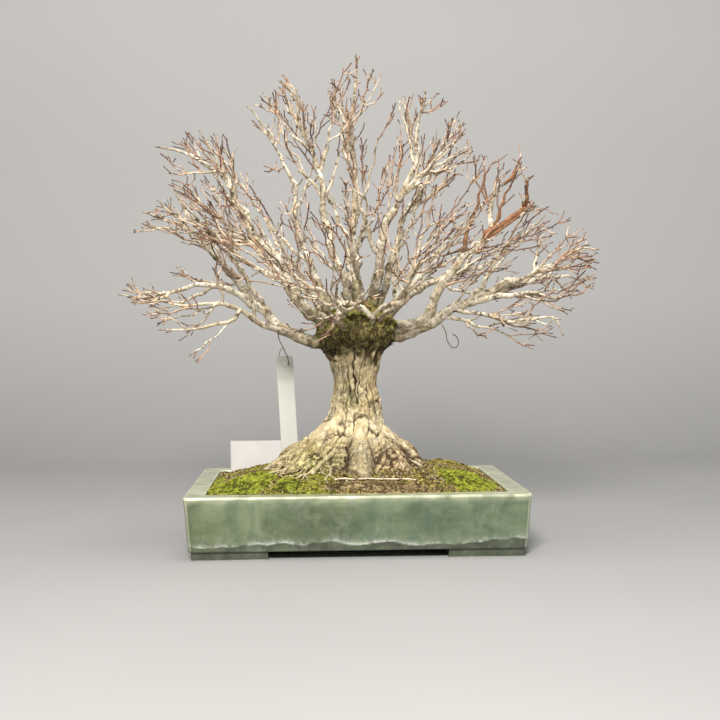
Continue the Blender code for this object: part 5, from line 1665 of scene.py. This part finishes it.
def make_tags():
    plastic = plain_material("label_look", (0.60, 0.60, 0.545), (0.63, 0.628, 0.58), 0.42, 30, 0.00005)
    paper = plain_material("card_look", (0.62, 0.60, 0.59), (0.68, 0.66, 0.65), 0.75, 45, 0.00008)
    label = make_plate("label_plate", (22.0, 0.8, 148.0), 2.5, (0.4, 0.0), plastic)
    drill(label, [(0.0, 139.0)], 1.6, -4, 4, "Y")
    label.data.transform(Matrix.Rotation(math.radians(-3.0), 4, "Y"))
    label.data.transform(Matrix.Translation(Vector((-78.6, 86.0, 75.0)) * MM))
    card = make_plate("card_plate", (85.0, 0.5, 55.0), 1.5, (0.3, 0.9), paper)
    card.data.transform(Matrix.Rotation(math.radians(2.0), 4, "Z"))
    card.data.transform(Matrix.Translation(Vector((-116.0, 106.0, 57.0)) * MM))
    for piece, node, finish in ((label, "plant_label", "label_plastic"), (card, "name_card", "card")):
        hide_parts(node)
        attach(piece, "root")


def make_fallen_twig():
    line = []
    for step in range(48):
        share = step / 47
        x = -26 + 94 * share
        y = -97 + 3 * math.sin(3.1 * share) + 0.5 * math.sin(share * 21)
        line.append((x, y, soil_height(x, y) + 2.1 + 0.4 * math.sin(share * 17)))
    line = np.array(line)
    skin = Skin()
    radii = 0.95 + 0.16 * cloud(line, 5, 151) + 0.25 * np.exp(-((np.arange(48) % 12 - 6) ** 2) / 1.5)
    add_tube(skin, line, radii, 9, age=0.5, tint=0.75, tip=0.0)
    for at, way in ((12, (0.7, -0.7, 0.25)), (26, (0.8, 0.6, 0.3)), (37, (0.75, -0.6, 0.15))):
        stub = np.array([line[at] + np.array(way) * step for step in (0, 2.0, 4.0, 5.5)])
        add_tube(skin, stub, [0.7, 0.6, 0.5, 0.4], 7, age=0.4, tint=0.6, tip=0.3)
    piece = skin.build("fallen_twig_bark", TWIG_BARK)
    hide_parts("fallen_twig")
    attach(piece, "root")


def finish_hidden():
    """Materials for the drainage layer, screens and wires, which show only from under the pot."""
    pumice = plain_material("pumice_look", (0.42, 0.38, 0.32), (0.70, 0.66, 0.58), 0.9, 120, 0.002)
    plastic = plain_material("screen_look", (0.03, 0.03, 0.03), (0.06, 0.06, 0.055), 0.5, 90, 0.0001)
    wire = plain_material("wire_look", (0.55, 0.53, 0.50), (0.72, 0.70, 0.66), 0.38, 140, 0.0001,
                          Metallic=1.0)
    finishes = {"drainage_layer": pumice}
    for word in ("left", "right"):
        finishes["drain_screen_" + word] = plastic
        finishes["screen_clip_" + word] = wire
        finishes["tie_wire_" + word] = wire
    for node, material in finishes.items():
        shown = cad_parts[node]
        shown.data.materials.clear()
        shown.data.materials.append(material)


# ---------------------------------------------------------------- stage


def make_stage():
    """A pale floor that curves up into the backdrop."""
    start = STAGE_FAR - STAGE_BEND
    profile = [(STAGE_NEAR, 0.0), (start, 0.0)]
    for step in range(1, STAGE_BEND_STEPS + 1):
        angle = math.pi / 2 * step / STAGE_BEND_STEPS
        profile.append((start + STAGE_BEND * math.sin(angle), STAGE_BEND - STAGE_BEND * math.cos(angle)))
    profile.append((STAGE_FAR, STAGE_HEIGHT))
    points = [(side * STAGE_HALF_WIDTH, y, z) for y, z in profile for side in (-1, 1)]
    faces = [(2 * i, 2 * i + 1, 2 * i + 3, 2 * i + 2) for i in range(len(profile) - 1)]
    skin = Skin()
    skin.add(points, faces)
    n = Nodes("backdrop_look")
    # Painted light: darker on the floor and paler up the backdrop's rise.
    grey = n.ramp(n.height(), (0.0, (0.38, 0.375, 0.37)), (0.35, (0.53, 0.522, 0.512)),
                  (1.0, (0.60, 0.592, 0.582)))
    grey = n.mix(n.ramp(n.noise(1.4, 2), (0.3, 0.0), (0.7, 0.3)), grey, (0.50, 0.49, 0.48))
    n.bump(n.noise(900, 2), 0.0002, 0.2)
    stage = skin.build("backdrop", n.finish(grey, 0.85, Specular_IOR_Level=0.2), scale=1.0)


def area_light(name, place, target, size, power, colour):
    lamp = bpy.data.lights.new(name, "AREA")
    lamp.shape = "RECTANGLE"
    lamp.size, lamp.size_y = size
    lamp.energy = power
    lamp.color = colour
    made = bpy.data.objects.new(name, lamp)
    made.location = place
    made.rotation_euler = (Vector(target) - Vector(place)).to_track_quat("-Z", "Y").to_euler()
    SCENE.collection.objects.link(made)


def light_scene():
    for name, (place, size, power, colour) in LIGHTS.items():
        area_light(name, place, LIGHT_TARGET, size, power, colour)
    world = bpy.data.worlds.new("studio")
    world.use_nodes = True
    world.node_tree.nodes["Background"].inputs["Color"].default_value = WORLD_COLOUR
    world.node_tree.nodes["Background"].inputs["Strength"].default_value = WORLD_STRENGTH
    SCENE.world = world
    SCENE.view_settings.view_transform = "Standard"


def set_camera():
    lens = bpy.data.cameras.new("camera")
    lens.lens = CAMERA_LENS
    lens.sensor_width = CAMERA_SENSOR
    camera = bpy.data.objects.new("camera", lens)
    placed = Matrix.Translation(CAMERA_PLACE)
    for angle, axis in CAMERA_TURNS:
        placed = placed @ Matrix.Rotation(math.radians(angle), 4, axis)
    camera.matrix_world = placed
    SCENE.collection.objects.link(camera)
    SCENE.camera = camera


# ---------------------------------------------------------------- the object


make_pot()
make_soil()
for piece in make_ground_moss():
    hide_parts("soil")
for node in CUSHIONS:
    dry = node.startswith("dry")
    look = MOSS_DRY if dry else MOSS_OLIVE if node in ("moss_right_back", "moss_back") else MOSS_GREEN
    make_cushion(node, look, 1.6 if dry else 2.2)
trunk = make_trunk()
crown, limbs = make_crown()
tree_pieces = [trunk, make_roots(), *crown]
head = make_head_moss(trunk, limbs)
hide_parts("tree")
for piece in tree_pieces:
    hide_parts("tree")
    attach(piece, "root")
make_tags()
make_fallen_twig()
finish_hidden()
make_stage()
light_scene()
set_camera()
